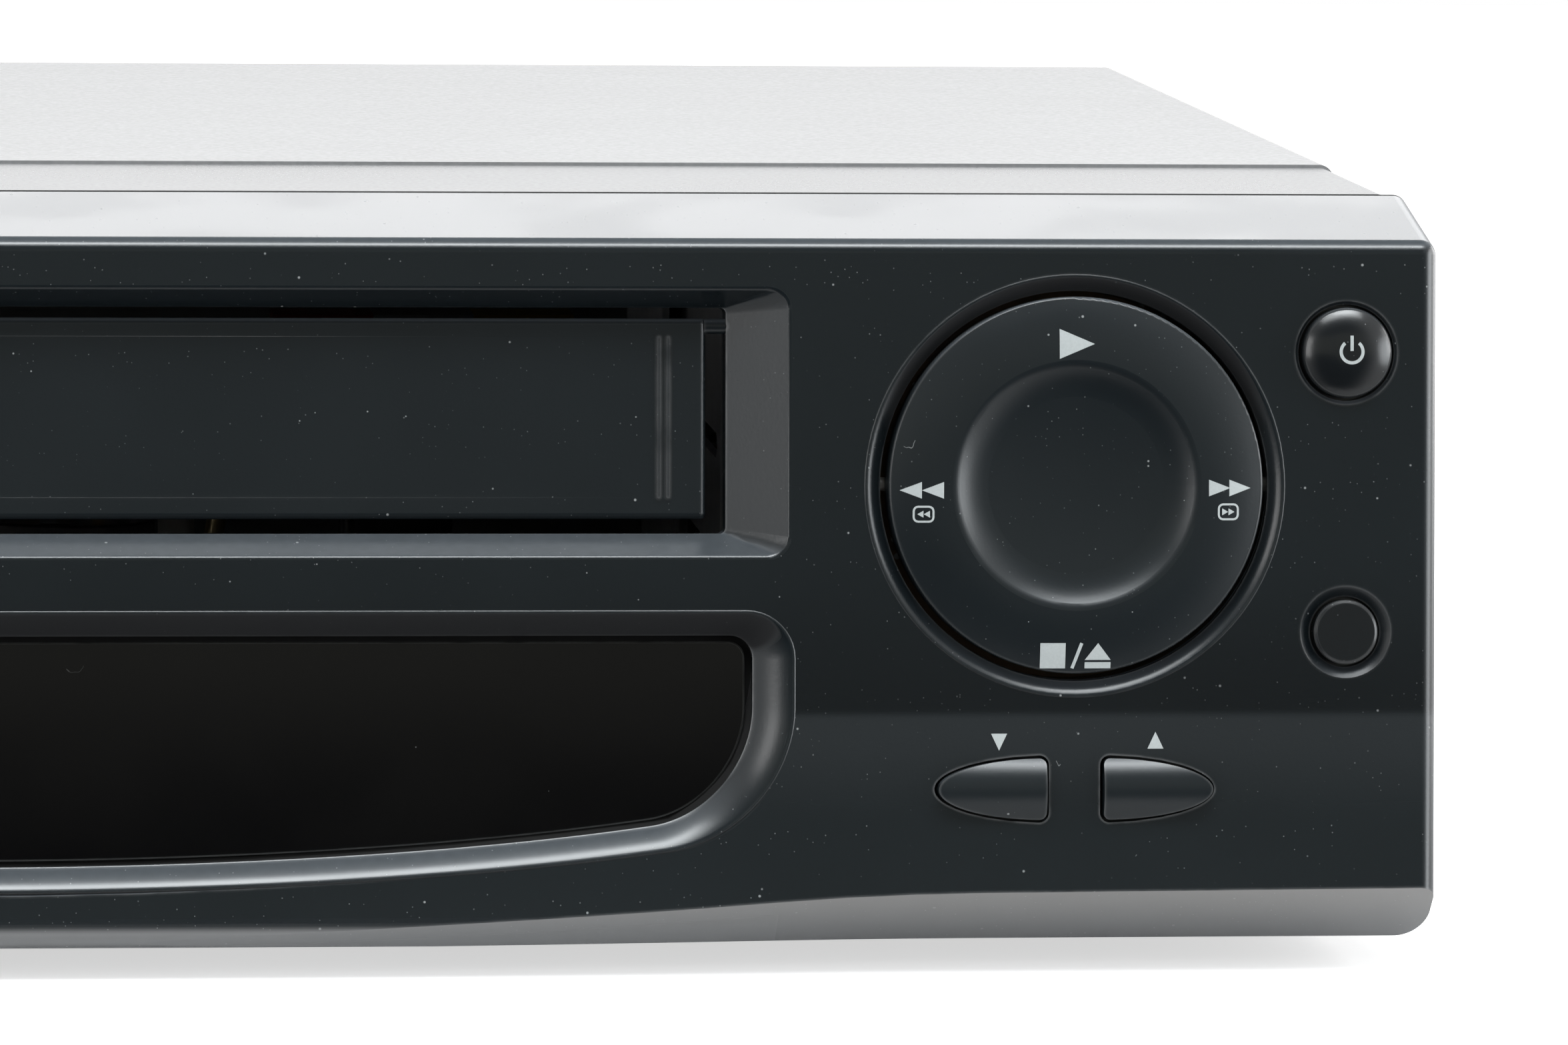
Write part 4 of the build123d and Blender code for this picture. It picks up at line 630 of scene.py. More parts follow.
# %% The window
CLEAN_ACRYLIC = (0.0030, 0.0027, 0.0027)
DUSTY_ACRYLIC = (0.13, 0.135, 0.13)
window_acrylic, tree, shader = start_finish("window_acrylic", IOR=1.49)
specks = use_effect(tree, dust_specks, Spacing=0.0035, Speck=0.00016, Share=0.25)
wiped = use_effect(tree, lint_curls, Spacing=0.02, Width=0.00007, Share=0.3)
marks = use_effect(tree, hand_marks, Size=0.03)
edges = use_effect(tree, rubbed_edges, Radius=0.0003, Wear=0.55)
film = maths(tree, "MAXIMUM", specks["Mask"], times(tree, wiped["Mask"], 0.35))
film = maths(tree, "MAXIMUM", film, edges["Mask"])
tone = blend_colours(tree, film, CLEAN_ACRYLIC, DUSTY_ACRYLIC)
complete(tree, shader, Base_Color=tone, Roughness=ramp(tree, marks["Mask"], 0.0, 1.0, 0.04, 0.08))
give(window_acrylic, "display_window")

# %% [markdown]
# ## The surround of the window
#
# The window lies in a dish of the moulding, and the dish's flank is smooth: it rolls over from the
# face, turns a large round corner and ends in a sharp inner edge. The frame has it flat. We lay a thin
# skin on the flank, as a moulder would fit a separate bezel ring. Its outline starts as a plane
# whose bottom edge gets one more point, pulled down. Bevelled corner points turn it into a straight
# top, round sides and a sagging bottom. Insets then walk down the flank, a little steeper each time.
# A curve could be lofted instead, but insets keep the wall's width even.

# %% Points on the leaning face
def up_the_face(z):
    """The distance up the leaning face of a point at height z. Both in millimetres."""
    return z / cos(FACE_LEAN)


def middle_of(node):
    """The middle of a node seen from the front: its X, and its distance up the face, in millimetres."""
    low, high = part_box(node)
    return (low[0] + high[0]) / 2 / MM, up_the_face((low[2] + high[2]) / 2 / MM)


def stand_on_face(piece, finish, smooth=40):
    """Stands a piece that was modelled flat up in the plane of the face, and fixes it to the case.

    Faces that meet at less than the smooth angle, in degrees, are shaded as one curve."""
    bpy.ops.object.mode_set(mode="OBJECT")
    bpy.ops.object.shade_smooth_by_angle(angle=radians(smooth))
    piece.rotation_euler = (radians(90) - FACE_LEAN, 0, 0)
    piece.location = Vector((0, FACE_FOOT_Y, 0))
    bpy.ops.object.transform_apply(location=True, rotation=True, scale=True)
    piece.data.materials.append(finish)
    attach(piece, "case")
    print(piece.name, "has", len(piece.data.polygons), "faces")


# %% The outline of the window
RING_HALF = 105.9 * MM
RING_TOP = 48.1 * MM
RING_CORNER = 18.9 * MM
RING_SAG = 14.2 * MM
TOP_ROUND = 6.3 * MM
LOW_ROUND = 16.6 * MM
SAG_ROUND = 88.5 * MM


def select_points(mesh, wanted):
    """Selects the points of an open mesh for which wanted(place) is true."""
    bpy.ops.mesh.select_all(action="DESELECT")
    bpy.ops.mesh.select_mode(type="VERT")
    for point in mesh.verts:
        point.select = wanted(point.co)
    mesh.select_flush_mode()


def start_window_shape(name):
    """A flat face with the window's outline, left open in edit mode and selected."""
    height = RING_TOP - RING_CORNER
    middle = RING_CORNER + height / 2
    bpy.ops.object.select_all(action="DESELECT")
    bpy.ops.mesh.primitive_plane_add(size=1)
    piece = bpy.context.object
    piece.name = name
    bpy.ops.object.mode_set(mode="EDIT")
    bpy.ops.transform.resize(value=(2 * RING_HALF, height, 1), center_override=(0, 0, 0))
    bpy.ops.transform.translate(value=(0, middle, 0))
    mesh = bmesh.from_edit_mesh(piece.data)
    select_points(mesh, lambda co: co.y < middle)
    bpy.ops.mesh.subdivide(number_cuts=1)
    select_points(mesh, lambda co: abs(co.x) < MM and co.y < middle)
    bpy.ops.transform.translate(value=(0, -RING_SAG, 0))
    select_points(mesh, lambda co: abs(co.x) > MM and co.y > middle)
    bpy.ops.mesh.bevel(offset=TOP_ROUND, segments=10, affect="VERTICES")
    select_points(mesh, lambda co: abs(co.x) > RING_HALF - MM and co.y < middle)
    bpy.ops.mesh.bevel(offset=LOW_ROUND, segments=22, affect="VERTICES")
    select_points(mesh, lambda co: abs(co.x) < MM and co.y < middle)
    bpy.ops.mesh.bevel(offset=SAG_ROUND, segments=40, affect="VERTICES")
    print(name, "starts with", len(mesh.verts), "points on its outline")
    bpy.ops.mesh.select_mode(type="FACE")
    bpy.ops.mesh.select_all(action="SELECT")
    bpy.ops.mesh.normals_make_consistent(inside=False)
    return piece


# %% [markdown]
# The surround is the charcoal plastic too. Its underside looks into the dark gap, so there it is
# painted darker and duller, with a mask that grows as the surface turns down.

# %% The plastic of the surround
surround_plastic, tree, shader, tone = moulding("surround_plastic", CHARCOAL, 0.24, wear=0.6)
shaded = ramp(tree, surface_normal(tree)["Z"], -0.02, -0.22, 0.0, 0.85)
gloss = maths(tree, "MAXIMUM", shader.inputs["Roughness"].links[0].from_socket, shaded)
tone = blend_colours(tree, shaded, tone, (0.002, 0.002, 0.003))
complete(tree, shader, Base_Color=tone, Roughness=gloss)
print(surround_plastic.name, "has", len(tree.nodes), "nodes")

# %% The flank of the surround
FLANK_WIDTH = 2.9 * MM
FLANK_DEPTH = 2.6 * MM
FLANK_STEPS = 8
SIDE_SQUEEZE = 0.9805 ** (1 / FLANK_STEPS)


def roll_over(rim, width, depth, steps, first_slope, more_slope, squeeze=None):
    """Insets the selected face down a flank. The rim's steps, in millimetres, come first.

    The slope is a share of depth over width, and squeeze draws the ends in by a factor."""
    for thickness, rise in rim:
        bpy.ops.mesh.inset(thickness=thickness * MM, depth=rise * MM)
    for step in range(steps):
        slope = first_slope + more_slope * (step + 0.5) / steps
        bpy.ops.mesh.inset(thickness=width / steps, depth=-depth / steps * slope)
        if squeeze:
            bpy.ops.transform.resize(value=(squeeze, 1, 1), center_override=(0, 0, 0))


surround = start_window_shape("window_surround")
surround_rim = ((0.10, 0.06), (0.12, 0.02), (0.12, -0.01))
roll_over(surround_rim, FLANK_WIDTH, FLANK_DEPTH, FLANK_STEPS, 0.55, 0.90, SIDE_SQUEEZE)
bpy.ops.mesh.inset(thickness=0.10 * MM, depth=-0.05 * MM)
bpy.ops.mesh.inset(thickness=0.02 * MM, depth=-1.3 * MM)
bpy.ops.mesh.delete(type="FACE")
stand_on_face(surround, surround_plastic)

# %% [markdown]
# The pane's front corners follow the surround. The frame's window has a straighter corner, so a thin
# pane of the same acrylic lies on it, with the surround's outline, a little smaller, and a fine
# polished edge. It is shaded flat past 15 degrees, or the flat face would seem to curve.

# %% The front pane
PANE_INSET = 4.1 * MM
PANE_SQUEEZE = 0.978
PANE_BACK = 3.9 * MM
pane = start_window_shape("window_pane")
bpy.ops.mesh.inset(thickness=PANE_INSET, depth=-PANE_BACK)
bpy.ops.mesh.select_all(action="INVERT")
bpy.ops.mesh.delete(type="FACE")
bpy.ops.mesh.select_all(action="SELECT")
bpy.ops.transform.resize(value=(PANE_SQUEEZE, 1, 1), center_override=(0, 0, -PANE_BACK))
bpy.ops.mesh.inset(thickness=0.01 * MM, depth=0.55 * MM)
bpy.ops.mesh.inset(thickness=0.16 * MM, depth=0.10 * MM)
stand_on_face(pane, window_acrylic, smooth=15)

# %% [markdown]
# ## The lip round the dial
#
# The dial sinks into a round recess whose lip is rolled over softly, so it draws a crescent of
# light on its left. It is the same kind of ring: a disc that insets walk down, each a little steeper.

# %% The lip
DIAL_X, DIAL_V = middle_of("transport_dial")
LIP_RADIUS = 27.55 * MM
LIP_WIDTH = 1.9 * MM
LIP_DEPTH = 1.25 * MM
LIP_STEPS = 6
bpy.ops.object.select_all(action="DESELECT")
dial_place = (DIAL_X * MM, DIAL_V * MM, 0)
bpy.ops.mesh.primitive_circle_add(vertices=96, radius=LIP_RADIUS, fill_type="NGON", location=dial_place)
lip = bpy.context.object
lip.name = "dial_lip"
bpy.ops.object.transform_apply(location=True, rotation=False, scale=False)
bpy.ops.object.mode_set(mode="EDIT")
bpy.ops.mesh.select_mode(type="FACE")
bpy.ops.mesh.select_all(action="SELECT")
bpy.ops.mesh.normals_make_consistent(inside=False)
roll_over(((0.10, 0.05), (0.14, 0.01)), LIP_WIDTH, LIP_DEPTH, LIP_STEPS, 0.60, 0.80)
bpy.ops.mesh.inset(thickness=0.01 * MM, depth=-1.3 * MM)
bpy.ops.mesh.delete(type="FACE")
stand_on_face(lip, surround_plastic)

# %% [markdown]
# ## The steel cover
#
# Folded sheet steel, sprayed a light silver-grey with fine metal flake. At the camera's low angle it
# mirrors the white studio and looks almost white. Real flakes are tiny mirrors. A fine noise that tips the
# normal and changes the tone a little does their work. The strip in front is painted darker. The step
# behind it faces the front and is painted dark as painted shade, and a black line of painted shade lies
# where the cover meets the front. They are painted by their place and direction.

# %% The cover paint
STRIP_DEPTH = 48 * MM
FLAKE_DARK = (0.24, 0.245, 0.25)
FLAKE_LIGHT = (0.52, 0.525, 0.53)
STRIP_TONE_AND_STEP_SHADE = (0.14, 0.145, 0.15)
SEAM_SHADE_TONE = (0.006, 0.006, 0.006)
cover_paint, tree, shader = start_finish("cover_paint", Metallic=0.0)
flake = use_effect(tree, moulded_grain, Size=0.0008)
marks = use_effect(tree, hand_marks, Size=0.05)
specks = use_effect(tree, dust_specks, Spacing=0.006, Speck=0.0003, Share=0.2)
edges = use_effect(tree, rubbed_edges, Radius=0.0005, Wear=0.4)
tone = blend_colours(tree, flake["Height"], FLAKE_DARK, FLAKE_LIGHT)
tone = blend_colours(tree, times(tree, flake["Mottle"], 0.25), tone, (0.36, 0.36, 0.36))
tone = blend_colours(tree, specks["Mask"], tone, (0.12, 0.12, 0.115))
tone = blend_colours(tree, edges["Mask"], tone, (0.55, 0.55, 0.55))
along = object_place(tree)["Y"]
facing = surface_normal(tree)
strip_end = COVER_FRONT_Y + STRIP_DEPTH
on_strip = ramp(tree, along, strip_end + 3 * MM, strip_end, 0.0, 0.32)
on_strip = times(tree, on_strip, ramp(tree, facing["Z"], 0.5, 0.9))
# the step's front face is painted dark: painted shade
step_shade = ramp(tree, facing["Y"], -0.3, -0.7, 0.0, 0.55)
tone = blend_colours(tree, maths(tree, "MAXIMUM", on_strip, step_shade), tone, STRIP_TONE_AND_STEP_SHADE)
# a black line of painted shade where the cover meets the front
seam_shade = ramp(tree, along, COVER_FRONT_Y + 0.5 * MM, COVER_FRONT_Y + 0.3 * MM)
tone = blend_colours(tree, seam_shade, tone, SEAM_SHADE_TONE)
gloss = maths(tree, "MAXIMUM", ramp(tree, marks["Mask"], 0.0, 1.0, 0.215, 0.24), seam_shade)
complete(tree, shader, Base_Color=tone, Roughness=gloss)
add_relief(tree, shader, flake["Height"], 0.00001)
give(cover_paint, "top_cover")

# %% [markdown]
# ## Sheet metal and screws
#
# The tray, the rear panel, the brackets and the levers are zinc-plated steel: a cool grey with
# faint rolling lines and soft cloudy patches, and no paint. The screws and the heat sink are
# black. All of them share one function, because they differ only in tone, gloss and grain.

# %% Plated sheet
def plated(name, dark, light, roughness, size=0.0007):
    """Plated sheet steel with rolling grain and cloudy patches."""
    material, tree, shader = start_finish(name, Metallic=0.9)
    grain = use_effect(tree, sheet_grain, Size=size)
    clouds = use_effect(tree, hand_marks, Size=0.006)
    edges = use_effect(tree, rubbed_edges, Radius=0.0004, Wear=0.5)
    tone = blend_colours(tree, grain["Tone"], dark, light)
    tone = blend_colours(tree, times(tree, clouds["Mask"], 0.12), tone, dark)
    tone = blend_colours(tree, edges["Mask"], tone, (0.80, 0.80, 0.80))
    gloss = ramp(tree, clouds["Mask"], 0.0, 1.0, roughness - 0.02, roughness + 0.03)
    complete(tree, shader, Base_Color=tone, Roughness=gloss)
    add_relief(tree, shader, grain["Height"], 0.000006)
    return material


zinc_sheet = plated("zinc_sheet", (0.36, 0.37, 0.38), (0.56, 0.57, 0.58), 0.38)
give(zinc_sheet, "base_tray", "rear_panel", "loader_bracket_left", "loader_bracket_right", "loader_brace")
give(zinc_sheet, "cassette_holder", "deck_plate", "idler_arm", "pinch_arm", "tension_arm")
tin_plate = plated("tin_plate", (0.52, 0.52, 0.51), (0.70, 0.70, 0.68), 0.28, 0.0012)
give(tin_plate, "tuner_can", "loading_motor")
give(plated("screw_steel", (0.012, 0.012, 0.013), (0.030, 0.030, 0.032), 0.34), "cover_screws")
give(plated("sink_alloy", (0.03, 0.03, 0.032), (0.06, 0.06, 0.062), 0.42), "heat_sink")

# %% [markdown]
# ## Machined metal
#
# The drum and the flywheel are turned on a lathe, which leaves fine rings round their upright axis.
# The ring effect takes the axis as its centre, so each has its own material. Rings could be
# modelled, but a bump is enough at this size. The guides, the heads and the sockets borrow the
# effect for a machined look, and its lines don't follow their own axes.

# %% Turned metal
def machined(name, colour, roughness, centre, pitch=0.0005, depth=0.000004):
    """Turned metal with fine rings round an upright axis."""
    material, tree, shader = start_finish(name, Metallic=1.0)
    axis = {"Centre X": centre[0], "Centre Y": centre[1]}
    rings = use_effect(tree, turned_rings, Pitch=pitch, **axis)
    clouds = use_effect(tree, hand_marks, Size=0.010)
    tone = blend_colours(tree, clouds["Mask"], colour, tuple(0.85 * c for c in colour))
    gloss = ramp(tree, clouds["Mask"], 0.0, 1.0, roughness, roughness + 0.08)
    complete(tree, shader, Base_Color=tone, Roughness=gloss)
    add_relief(tree, shader, rings["Height"], depth)
    return material


def centre_of(name):
    """The X and Y of a node's middle, in metres."""
    low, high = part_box(name)
    return (low[0] + high[0]) / 2, (low[1] + high[1]) / 2


# %% The machined pieces
DRUM = centre_of("head_drum")
CAPSTAN = centre_of("capstan_flywheel")
SOCKETS = centre_of("aerial_sockets")
ORIGIN = (0.0, 0.0)
give(machined("drum_alloy", (0.70, 0.70, 0.71), 0.20, DRUM, 0.0003), "head_drum", "drum_bearings")
give(machined("base_alloy", (0.55, 0.55, 0.56), 0.42, DRUM, 0.0008, 0.00001), "drum_base")
give(machined("flywheel_steel", (0.50, 0.50, 0.51), 0.30, CAPSTAN), "capstan_flywheel")
give(machined("bearing_brass", (0.70, 0.52, 0.25), 0.30, CAPSTAN), "capstan_bearing")
guide_brass = machined("guide_brass", (0.68, 0.55, 0.33), 0.28, ORIGIN, 0.0006)
give(guide_brass, "guide_base_supply", "guide_base_take_up")
give(machined("socket_nickel", (0.62, 0.60, 0.57), 0.24, SOCKETS, 0.0007), "aerial_sockets")
give(machined("head_metal", (0.58, 0.57, 0.55), 0.18, ORIGIN, 0.0009), "erase_head", "audio_head")

# %% [markdown]
# ## Rubber, acetal and black mouldings inside
#
# The feet, the belt and the two rubber wheels are black rubber, dull and a little dusty. Reels,
# gears and rollers are white acetal, a smooth plastic that needs no oil, and the rest is black
# moulded plastic. Plain colours would do for hidden pieces, but the open flap shows some of the
# inside, so they get the same effects as the front.

# %% Rubber
rubber, tree, shader = start_finish("rubber")
texture = use_effect(tree, moulded_grain, Size=0.0005)
specks = use_effect(tree, dust_specks, Spacing=0.002, Speck=0.0002, Share=0.4)
tone = blend_colours(tree, texture["Mottle"], (0.012, 0.012, 0.013), (0.026, 0.026, 0.027))
tone = blend_colours(tree, specks["Mask"], tone, (0.14, 0.13, 0.12))
complete(tree, shader, Base_Color=tone, Roughness=ramp(tree, texture["Mottle"], 0.3, 0.7, 0.62, 0.80))
add_relief(tree, shader, texture["Height"], 0.00003)
give(rubber, "rubber_feet", "drive_belt", "idler_wheel", "pinch_roller")

# %% Acetal and black mouldings
white_acetal = moulding(
    "white_acetal", (0.62, 0.60, 0.55), 0.36, depth=0.000004, dust=0.05, lint=0.0, wear=0.0, settled=0.05
)[0]
give(white_acetal, "dial_gimbal", "supply_reel", "take_up_reel", "cam_gear", "loading_worm")
give(white_acetal, "guide_roller_supply", "guide_roller_take_up")
black_moulding = moulding("black_moulding", (0.016, 0.016, 0.016), 0.42, dust=0.2, lint=0.2)[0]
give(black_moulding, "mains_inlet", "tact_switches", "loader_slider", "clutch_hub")

# %% [markdown]
# ## The phono sockets
#
# They carry the usual colour code round their shells: yellow for the picture, white and red for
# the two sound channels. Each could be a piece of its own, but two rows of three share the code, so
# the colour follows X only. It also runs through their block inside the case, which the cover hides.

# %% Phono sockets
SHELL_LENGTH = 1.6 * MM
YELLOW = (0.72, 0.50, 0.03)
SOUND_WHITE = (0.62, 0.62, 0.60)
RED = (0.55, 0.03, 0.03)
phono_code, tree, shader = start_finish("phono_code", Roughness=0.35)
place = object_place(tree)
low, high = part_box("phono_sockets")
third = (high[0] - low[0]) / 3
right_row = maths(tree, "GREATER_THAN", place["X"], low[0] + 2 * third)
left_row = maths(tree, "LESS_THAN", place["X"], low[0] + third)
code = blend_colours(tree, right_row, SOUND_WHITE, YELLOW)
code = blend_colours(tree, left_row, code, RED)
grain = use_effect(tree, moulded_grain, Size=GRAIN_SIZE)
code = blend_colours(tree, times(tree, grain["Mottle"], 0.2), code, (0.3, 0.3, 0.3))
shell = maths(tree, "GREATER_THAN", place["Y"], high[1] - SHELL_LENGTH)
code = blend_colours(tree, shell, code, (0.62, 0.60, 0.57))
complete(tree, shader, Base_Color=code, Metallic=shell)
add_relief(tree, shader, grain["Height"], 0.000008)
give(phono_code, "phono_sockets")

# %% [markdown]
# ## Boards and what stands on them
#
# A circuit board is a sheet of resin with copper lanes under coloured resist, and bright tinned
# spots where parts are soldered. A drawn layout could give them, but the closed cover hides the
# boards, so two cell patterns, one for lanes and one for spots, are enough.

# %% Circuit boards
LANE_CELLS = 0.28
SOLDER = (0.60, 0.60, 0.58)
board_traces, given, result = new_effect("board_traces", {"Pitch": 0.0025}, ("Traces", "Pads"))
tree = board_traces
lane_pitch = maths(tree, "DIVIDE", given["Pitch"], LANE_CELLS)
lanes = cells(tree, object_point(tree), lane_pitch, "DISTANCE_TO_EDGE", 0.55)
wire(tree, ramp(tree, lanes["Distance"], 0.12, 0.09), result["Traces"])
dots = cells(tree, object_point(tree), given["Pitch"], randomness=0.35)
wire(tree, ramp(tree, dots["Distance"], 0.20, 0.14), result["Pads"])


def board(name, bare, trace):
    """A circuit board: solder resist over copper lanes, with tinned pads."""
    material, tree, shader = start_finish(name)
    lines = use_effect(tree, board_traces, Pitch=0.0025)
    pads = lines["Pads"]
    tone = blend_colours(tree, lines["Traces"], bare, trace)
    tone = blend_colours(tree, pads, tone, SOLDER)
    complete(tree, shader, Base_Color=tone, Metallic=pads, Roughness=ramp(tree, pads, 0.0, 1.0, 0.42, 0.28))
    add_relief(tree, shader, lines["Traces"], 0.00003)
    return material


give(board("board_green", (0.030, 0.13, 0.05), (0.05, 0.20, 0.08)), "main_board")
brown_board = board("board_brown", (0.22, 0.13, 0.055), (0.30, 0.17, 0.07))
give(brown_board, "power_board", "front_board", "capstan_stator")

# %% [markdown]
# The capacitors wear a dark blue sleeve with a pale stripe and a bare metal top. The transformer is
# a ferrite core with yellow tape round its coil, and the display tube is dark glass. Their parts
# aren't separate pieces, so each tone is found by its direction or its place.

# %% Capacitors
capacitor_sleeve, tree, shader = start_finish("capacitor_sleeve")
facing = surface_normal(tree)
top = ramp(tree, facing["Z"], 0.9, 0.97)
stripe = ramp(tree, facing["X"], 0.90, 0.93)
grain = use_effect(tree, moulded_grain, Size=0.0008)
tone = blend_colours(tree, stripe, (0.010, 0.018, 0.06), (0.45, 0.46, 0.48))
tone = blend_colours(tree, top, tone, (0.66, 0.66, 0.67))
gloss = ramp(tree, grain["Mottle"], 0.3, 0.7, 0.25, 0.35)
complete(tree, shader, Base_Color=tone, Metallic=top, Roughness=gloss)
give(capacitor_sleeve, "board_capacitors")

# %% The transformer and the display tube
CORE_HALF = 7.05 * MM
ferrite, tree, shader = start_finish("ferrite_and_tape")
off_middle = maths(tree, "SUBTRACT", object_place(tree)["Y"], centre_of("power_transformer")[1])
tape = ramp(tree, maths(tree, "SUBTRACT", maths(tree, "ABSOLUTE", off_middle), CORE_HALF), 0.0, 0.05 * MM)
grain = use_effect(tree, moulded_grain, Size=0.0006)
tone = blend_colours(tree, grain["Mottle"], (0.035, 0.035, 0.037), (0.07, 0.07, 0.072))
tone = blend_colours(tree, tape, tone, (0.62, 0.44, 0.06))
complete(tree, shader, Base_Color=tone, Roughness=ramp(tree, grain["Mottle"], 0.3, 0.7, 0.4, 0.55))
add_relief(tree, shader, grain["Height"], 0.00002)
give(ferrite, "power_transformer")

tube_glass, tree, shader = start_finish("tube_glass")
film = use_effect(tree, hand_marks, Size=0.004)["Mask"]
tone = blend_colours(tree, film, (0.02, 0.035, 0.033), (0.03, 0.048, 0.045))
complete(tree, shader, Base_Color=tone, Roughness=ramp(tree, film, 0.0, 1.0, 0.06, 0.10))
give(tube_glass, "display_tube")

# %% [markdown]
# ## The printed signs
#
# The dial, the power button and the face above the channel buttons carry small white signs. On the
# real machine they are pad-printed: a film of ink that follows the curved surface. A texture could
# carry them, but thin meshes keep their edges crisp at any distance. Each sign is modelled flat in
# the plane of the face, from triangles, plates and rings. A Shrinkwrap modifier then presses it
# onto its surface, and Solidify gives the ink its thickness.

# %% Shapes for the signs
def start_sign(name):
    """An empty mesh, opened in edit mode, that the shapes of one sign are added to."""
    bpy.ops.object.select_all(action="DESELECT")
    bpy.ops.mesh.primitive_plane_add(size=1 * MM)
    sign = bpy.context.object
    sign.name = name
    bpy.ops.object.mode_set(mode="EDIT")
    bpy.ops.mesh.select_all(action="SELECT")
    bpy.ops.mesh.delete(type="VERT")
    return sign


def fit_shape(place, width, height, turn=0):
    """Sizes and turns what was just added. Here a positive angle of the operator turns clockwise."""
    bpy.ops.transform.resize(value=(width, height, 1), center_override=place)
    bpy.ops.transform.rotate(value=-radians(turn), orient_axis="Z", center_override=place)


def add_triangle(x, v, width, height, turn=0):
    """A triangle of ink whose box has its middle at x, v. It points up before it is turned."""
    lift = height / 6
    swing = radians(turn)
    place = ((x + lift * sin(swing)) * MM, (v - lift * cos(swing)) * MM, 0)
    bpy.ops.mesh.primitive_circle_add(vertices=3, radius=MM, fill_type="NGON", location=place)
    fit_shape(place, width / (2 * cos(radians(30))), height / 1.5, turn)
    bpy.ops.mesh.subdivide(number_cuts=5)


def add_plate(x, v, width, height, turn=0):
    """A rectangle of ink with its middle at x, v."""
    place = (x * MM, v * MM, 0)
    bpy.ops.mesh.primitive_plane_add(size=MM, location=place)
    fit_shape(place, width, height, turn)
    bpy.ops.mesh.subdivide(number_cuts=7)


def add_frame(x, v, width, height, line):
    """A rounded box drawn with a line of ink."""
    place = (x * MM, v * MM, 0)
    bpy.ops.mesh.primitive_plane_add(size=MM, location=place)
    fit_shape(place, width, height)
    bpy.ops.mesh.bevel(offset=0.32 * height * MM, segments=4, affect="VERTICES")
    bpy.ops.mesh.inset(thickness=line * MM)
    bpy.ops.mesh.delete(type="FACE")


def add_open_ring(x, v, radius, line, gap):
    """A ring of ink with a gap at its top. The gap is half an opening angle in degrees."""
    place = Vector((x * MM, v * MM, 0))
    bpy.ops.mesh.primitive_circle_add(vertices=64, radius=radius * MM, location=place)
    bpy.ops.mesh.extrude_edges_move()
    shrink = (radius - line) / radius
    bpy.ops.transform.resize(value=(shrink, shrink, 1), center_override=place)
    mesh = bmesh.from_edit_mesh(bpy.context.object.data)
    bpy.ops.mesh.select_all(action="DESELECT")
    for face in mesh.faces:
        arm = face.calc_center_median() - place
        if arm.length < radius * MM and arm.y > arm.length * cos(radians(gap)):
            face.select = True
    bpy.ops.mesh.delete(type="FACE")


# %% Pressing a sign onto its surface
SIGN_STAND_OFF = 14 * MM
INK_FILM = 0.03 * MM
INK_GAP = 0.015 * MM
printed_ink, tree, shader = start_finish("printed_ink")
grain = use_effect(tree, moulded_grain, Size=0.0003)["Height"]
tone = blend_colours(tree, grain, (0.52, 0.57, 0.57), (0.66, 0.71, 0.71))
complete(tree, shader, Base_Color=tone, Roughness=ramp(tree, grain, 0.3, 0.7, 0.42, 0.55))
print(printed_ink.name, "is laid", INK_FILM / MM, "mm thick")


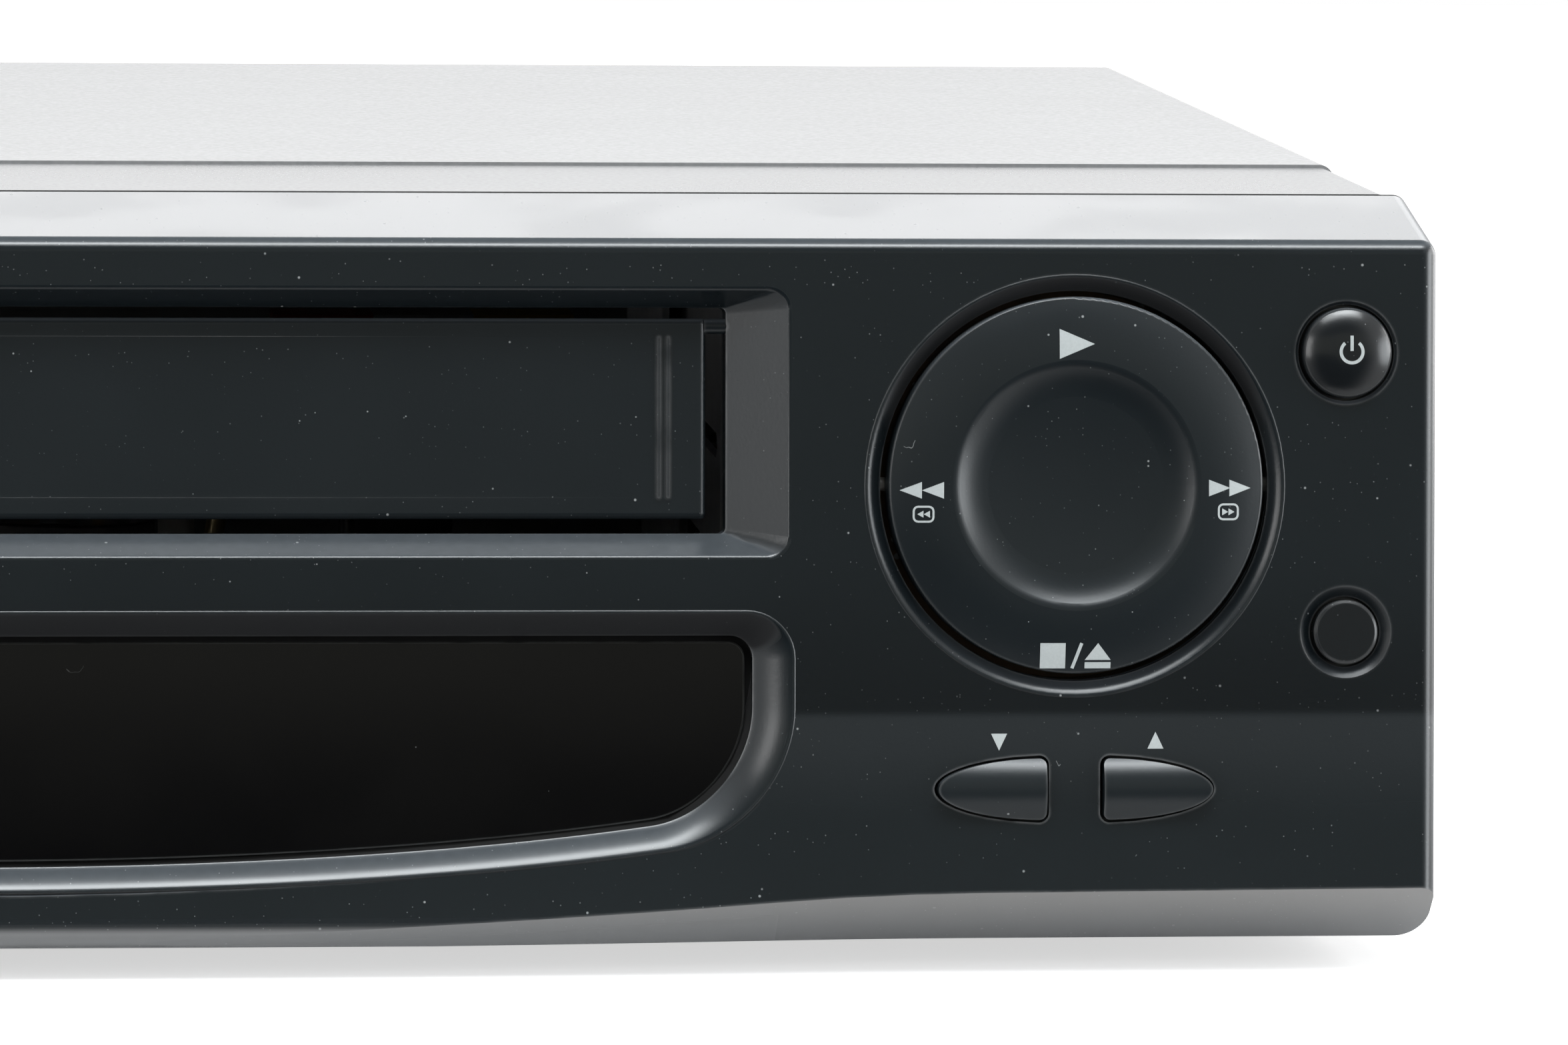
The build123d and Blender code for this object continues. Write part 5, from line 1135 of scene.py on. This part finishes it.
def print_onto(sign, node, body):
    """Stands a flat sign up in front of the face, presses it onto a node and fixes it to a body."""
    bpy.ops.mesh.select_all(action="SELECT")
    bpy.ops.mesh.normals_make_consistent(inside=False)
    bpy.ops.object.mode_set(mode="OBJECT")
    if sum(face.normal.z for face in sign.data.polygons) < 0:
        sign.data.flip_normals()
    outwards = Vector((0, -cos(FACE_LEAN), sin(FACE_LEAN)))
    sign.rotation_euler = (radians(90) - FACE_LEAN, 0, 0)
    sign.location = Vector((0, FACE_FOOT_Y, 0)) + outwards * SIGN_STAND_OFF
    press = sign.modifiers.new("press", "SHRINKWRAP")
    press.target = nodes[node]
    press.wrap_method = "PROJECT"
    press.use_project_z = True
    press.use_positive_direction = False
    press.use_negative_direction = True
    press.offset = INK_GAP
    film = sign.modifiers.new("film", "SOLIDIFY")
    film.thickness = INK_FILM
    film.offset = 1.0
    bpy.ops.object.modifier_apply(modifier="press")
    bpy.ops.object.modifier_apply(modifier="film")
    bpy.ops.object.transform_apply(location=True, rotation=True, scale=True)
    sign.data.materials.append(printed_ink)
    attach(sign, body)
    low, high = (Vector(corner) for corner in (sign.bound_box[0], sign.bound_box[6]))
    print(sign.name, "measures", [round(v / MM, 2) for v in high - low], "mm")


# %% The signs of the dial
dial_signs = start_sign("dial_signs")
add_triangle(DIAL_X - 0.05, DIAL_V + 18.5, 3.9, 4.6, -90)
for near, far in ((-18.85, -21.7), (18.65, 21.35)):
    turn = 90 if near < 0 else -90
    lift = -0.5 if near < 0 else -0.2
    add_triangle(DIAL_X + near, DIAL_V + lift, 2.16, 2.85, turn)
    add_triangle(DIAL_X + far, DIAL_V + lift, 2.16, 2.85, turn)
for x, v, turn in ((-20.05, -3.6, 90), (19.8, -3.3, -90)):
    add_frame(DIAL_X + x, DIAL_V + v, 2.8, 2.2, 0.26)
    add_triangle(DIAL_X + x - 0.42, DIAL_V + v, 0.9, 0.8, turn)
    add_triangle(DIAL_X + x + 0.42, DIAL_V + v, 0.9, 0.8, turn)
add_plate(DIAL_X - 3.1, DIAL_V - 22.0, 3.3, 3.3)
add_plate(DIAL_X + 0.05, DIAL_V - 22.0, 0.42, 3.5, -20)
add_triangle(DIAL_X + 2.8, DIAL_V - 21.45, 3.4, 2.2)
add_plate(DIAL_X + 2.8, DIAL_V - 23.25, 3.4, 0.8)
print_onto(dial_signs, "transport_dial", "dial")

# %% The sign of the power button
POWER_X, POWER_V = middle_of("power_button")
power_sign = start_sign("power_sign")
add_open_ring(POWER_X + 0.35, POWER_V + 0.45, 1.65, 0.42, 38)
add_plate(POWER_X + 0.35, POWER_V + 1.55, 0.42, 2.0)
print_onto(power_sign, "power_button", "power")

# %% The signs of the channel buttons
channel_signs = start_sign("channel_signs")
add_triangle(DIAL_X - 9.9, up_the_face(30.8), 2.1, 2.2, 180)
add_triangle(DIAL_X + 10.6, up_the_face(31.0), 2.1, 2.2)
print_onto(channel_signs, "front_bezel", "case")

# %% [markdown]
# ## Finishing
#
# Every node should have its finish by now, so we list those that don't.

# %% List the nodes without a finish
bare = [name for name, node in nodes.items() if not node.data.materials or node.data.materials[0] is None]
print("nodes without a finish:", bare)
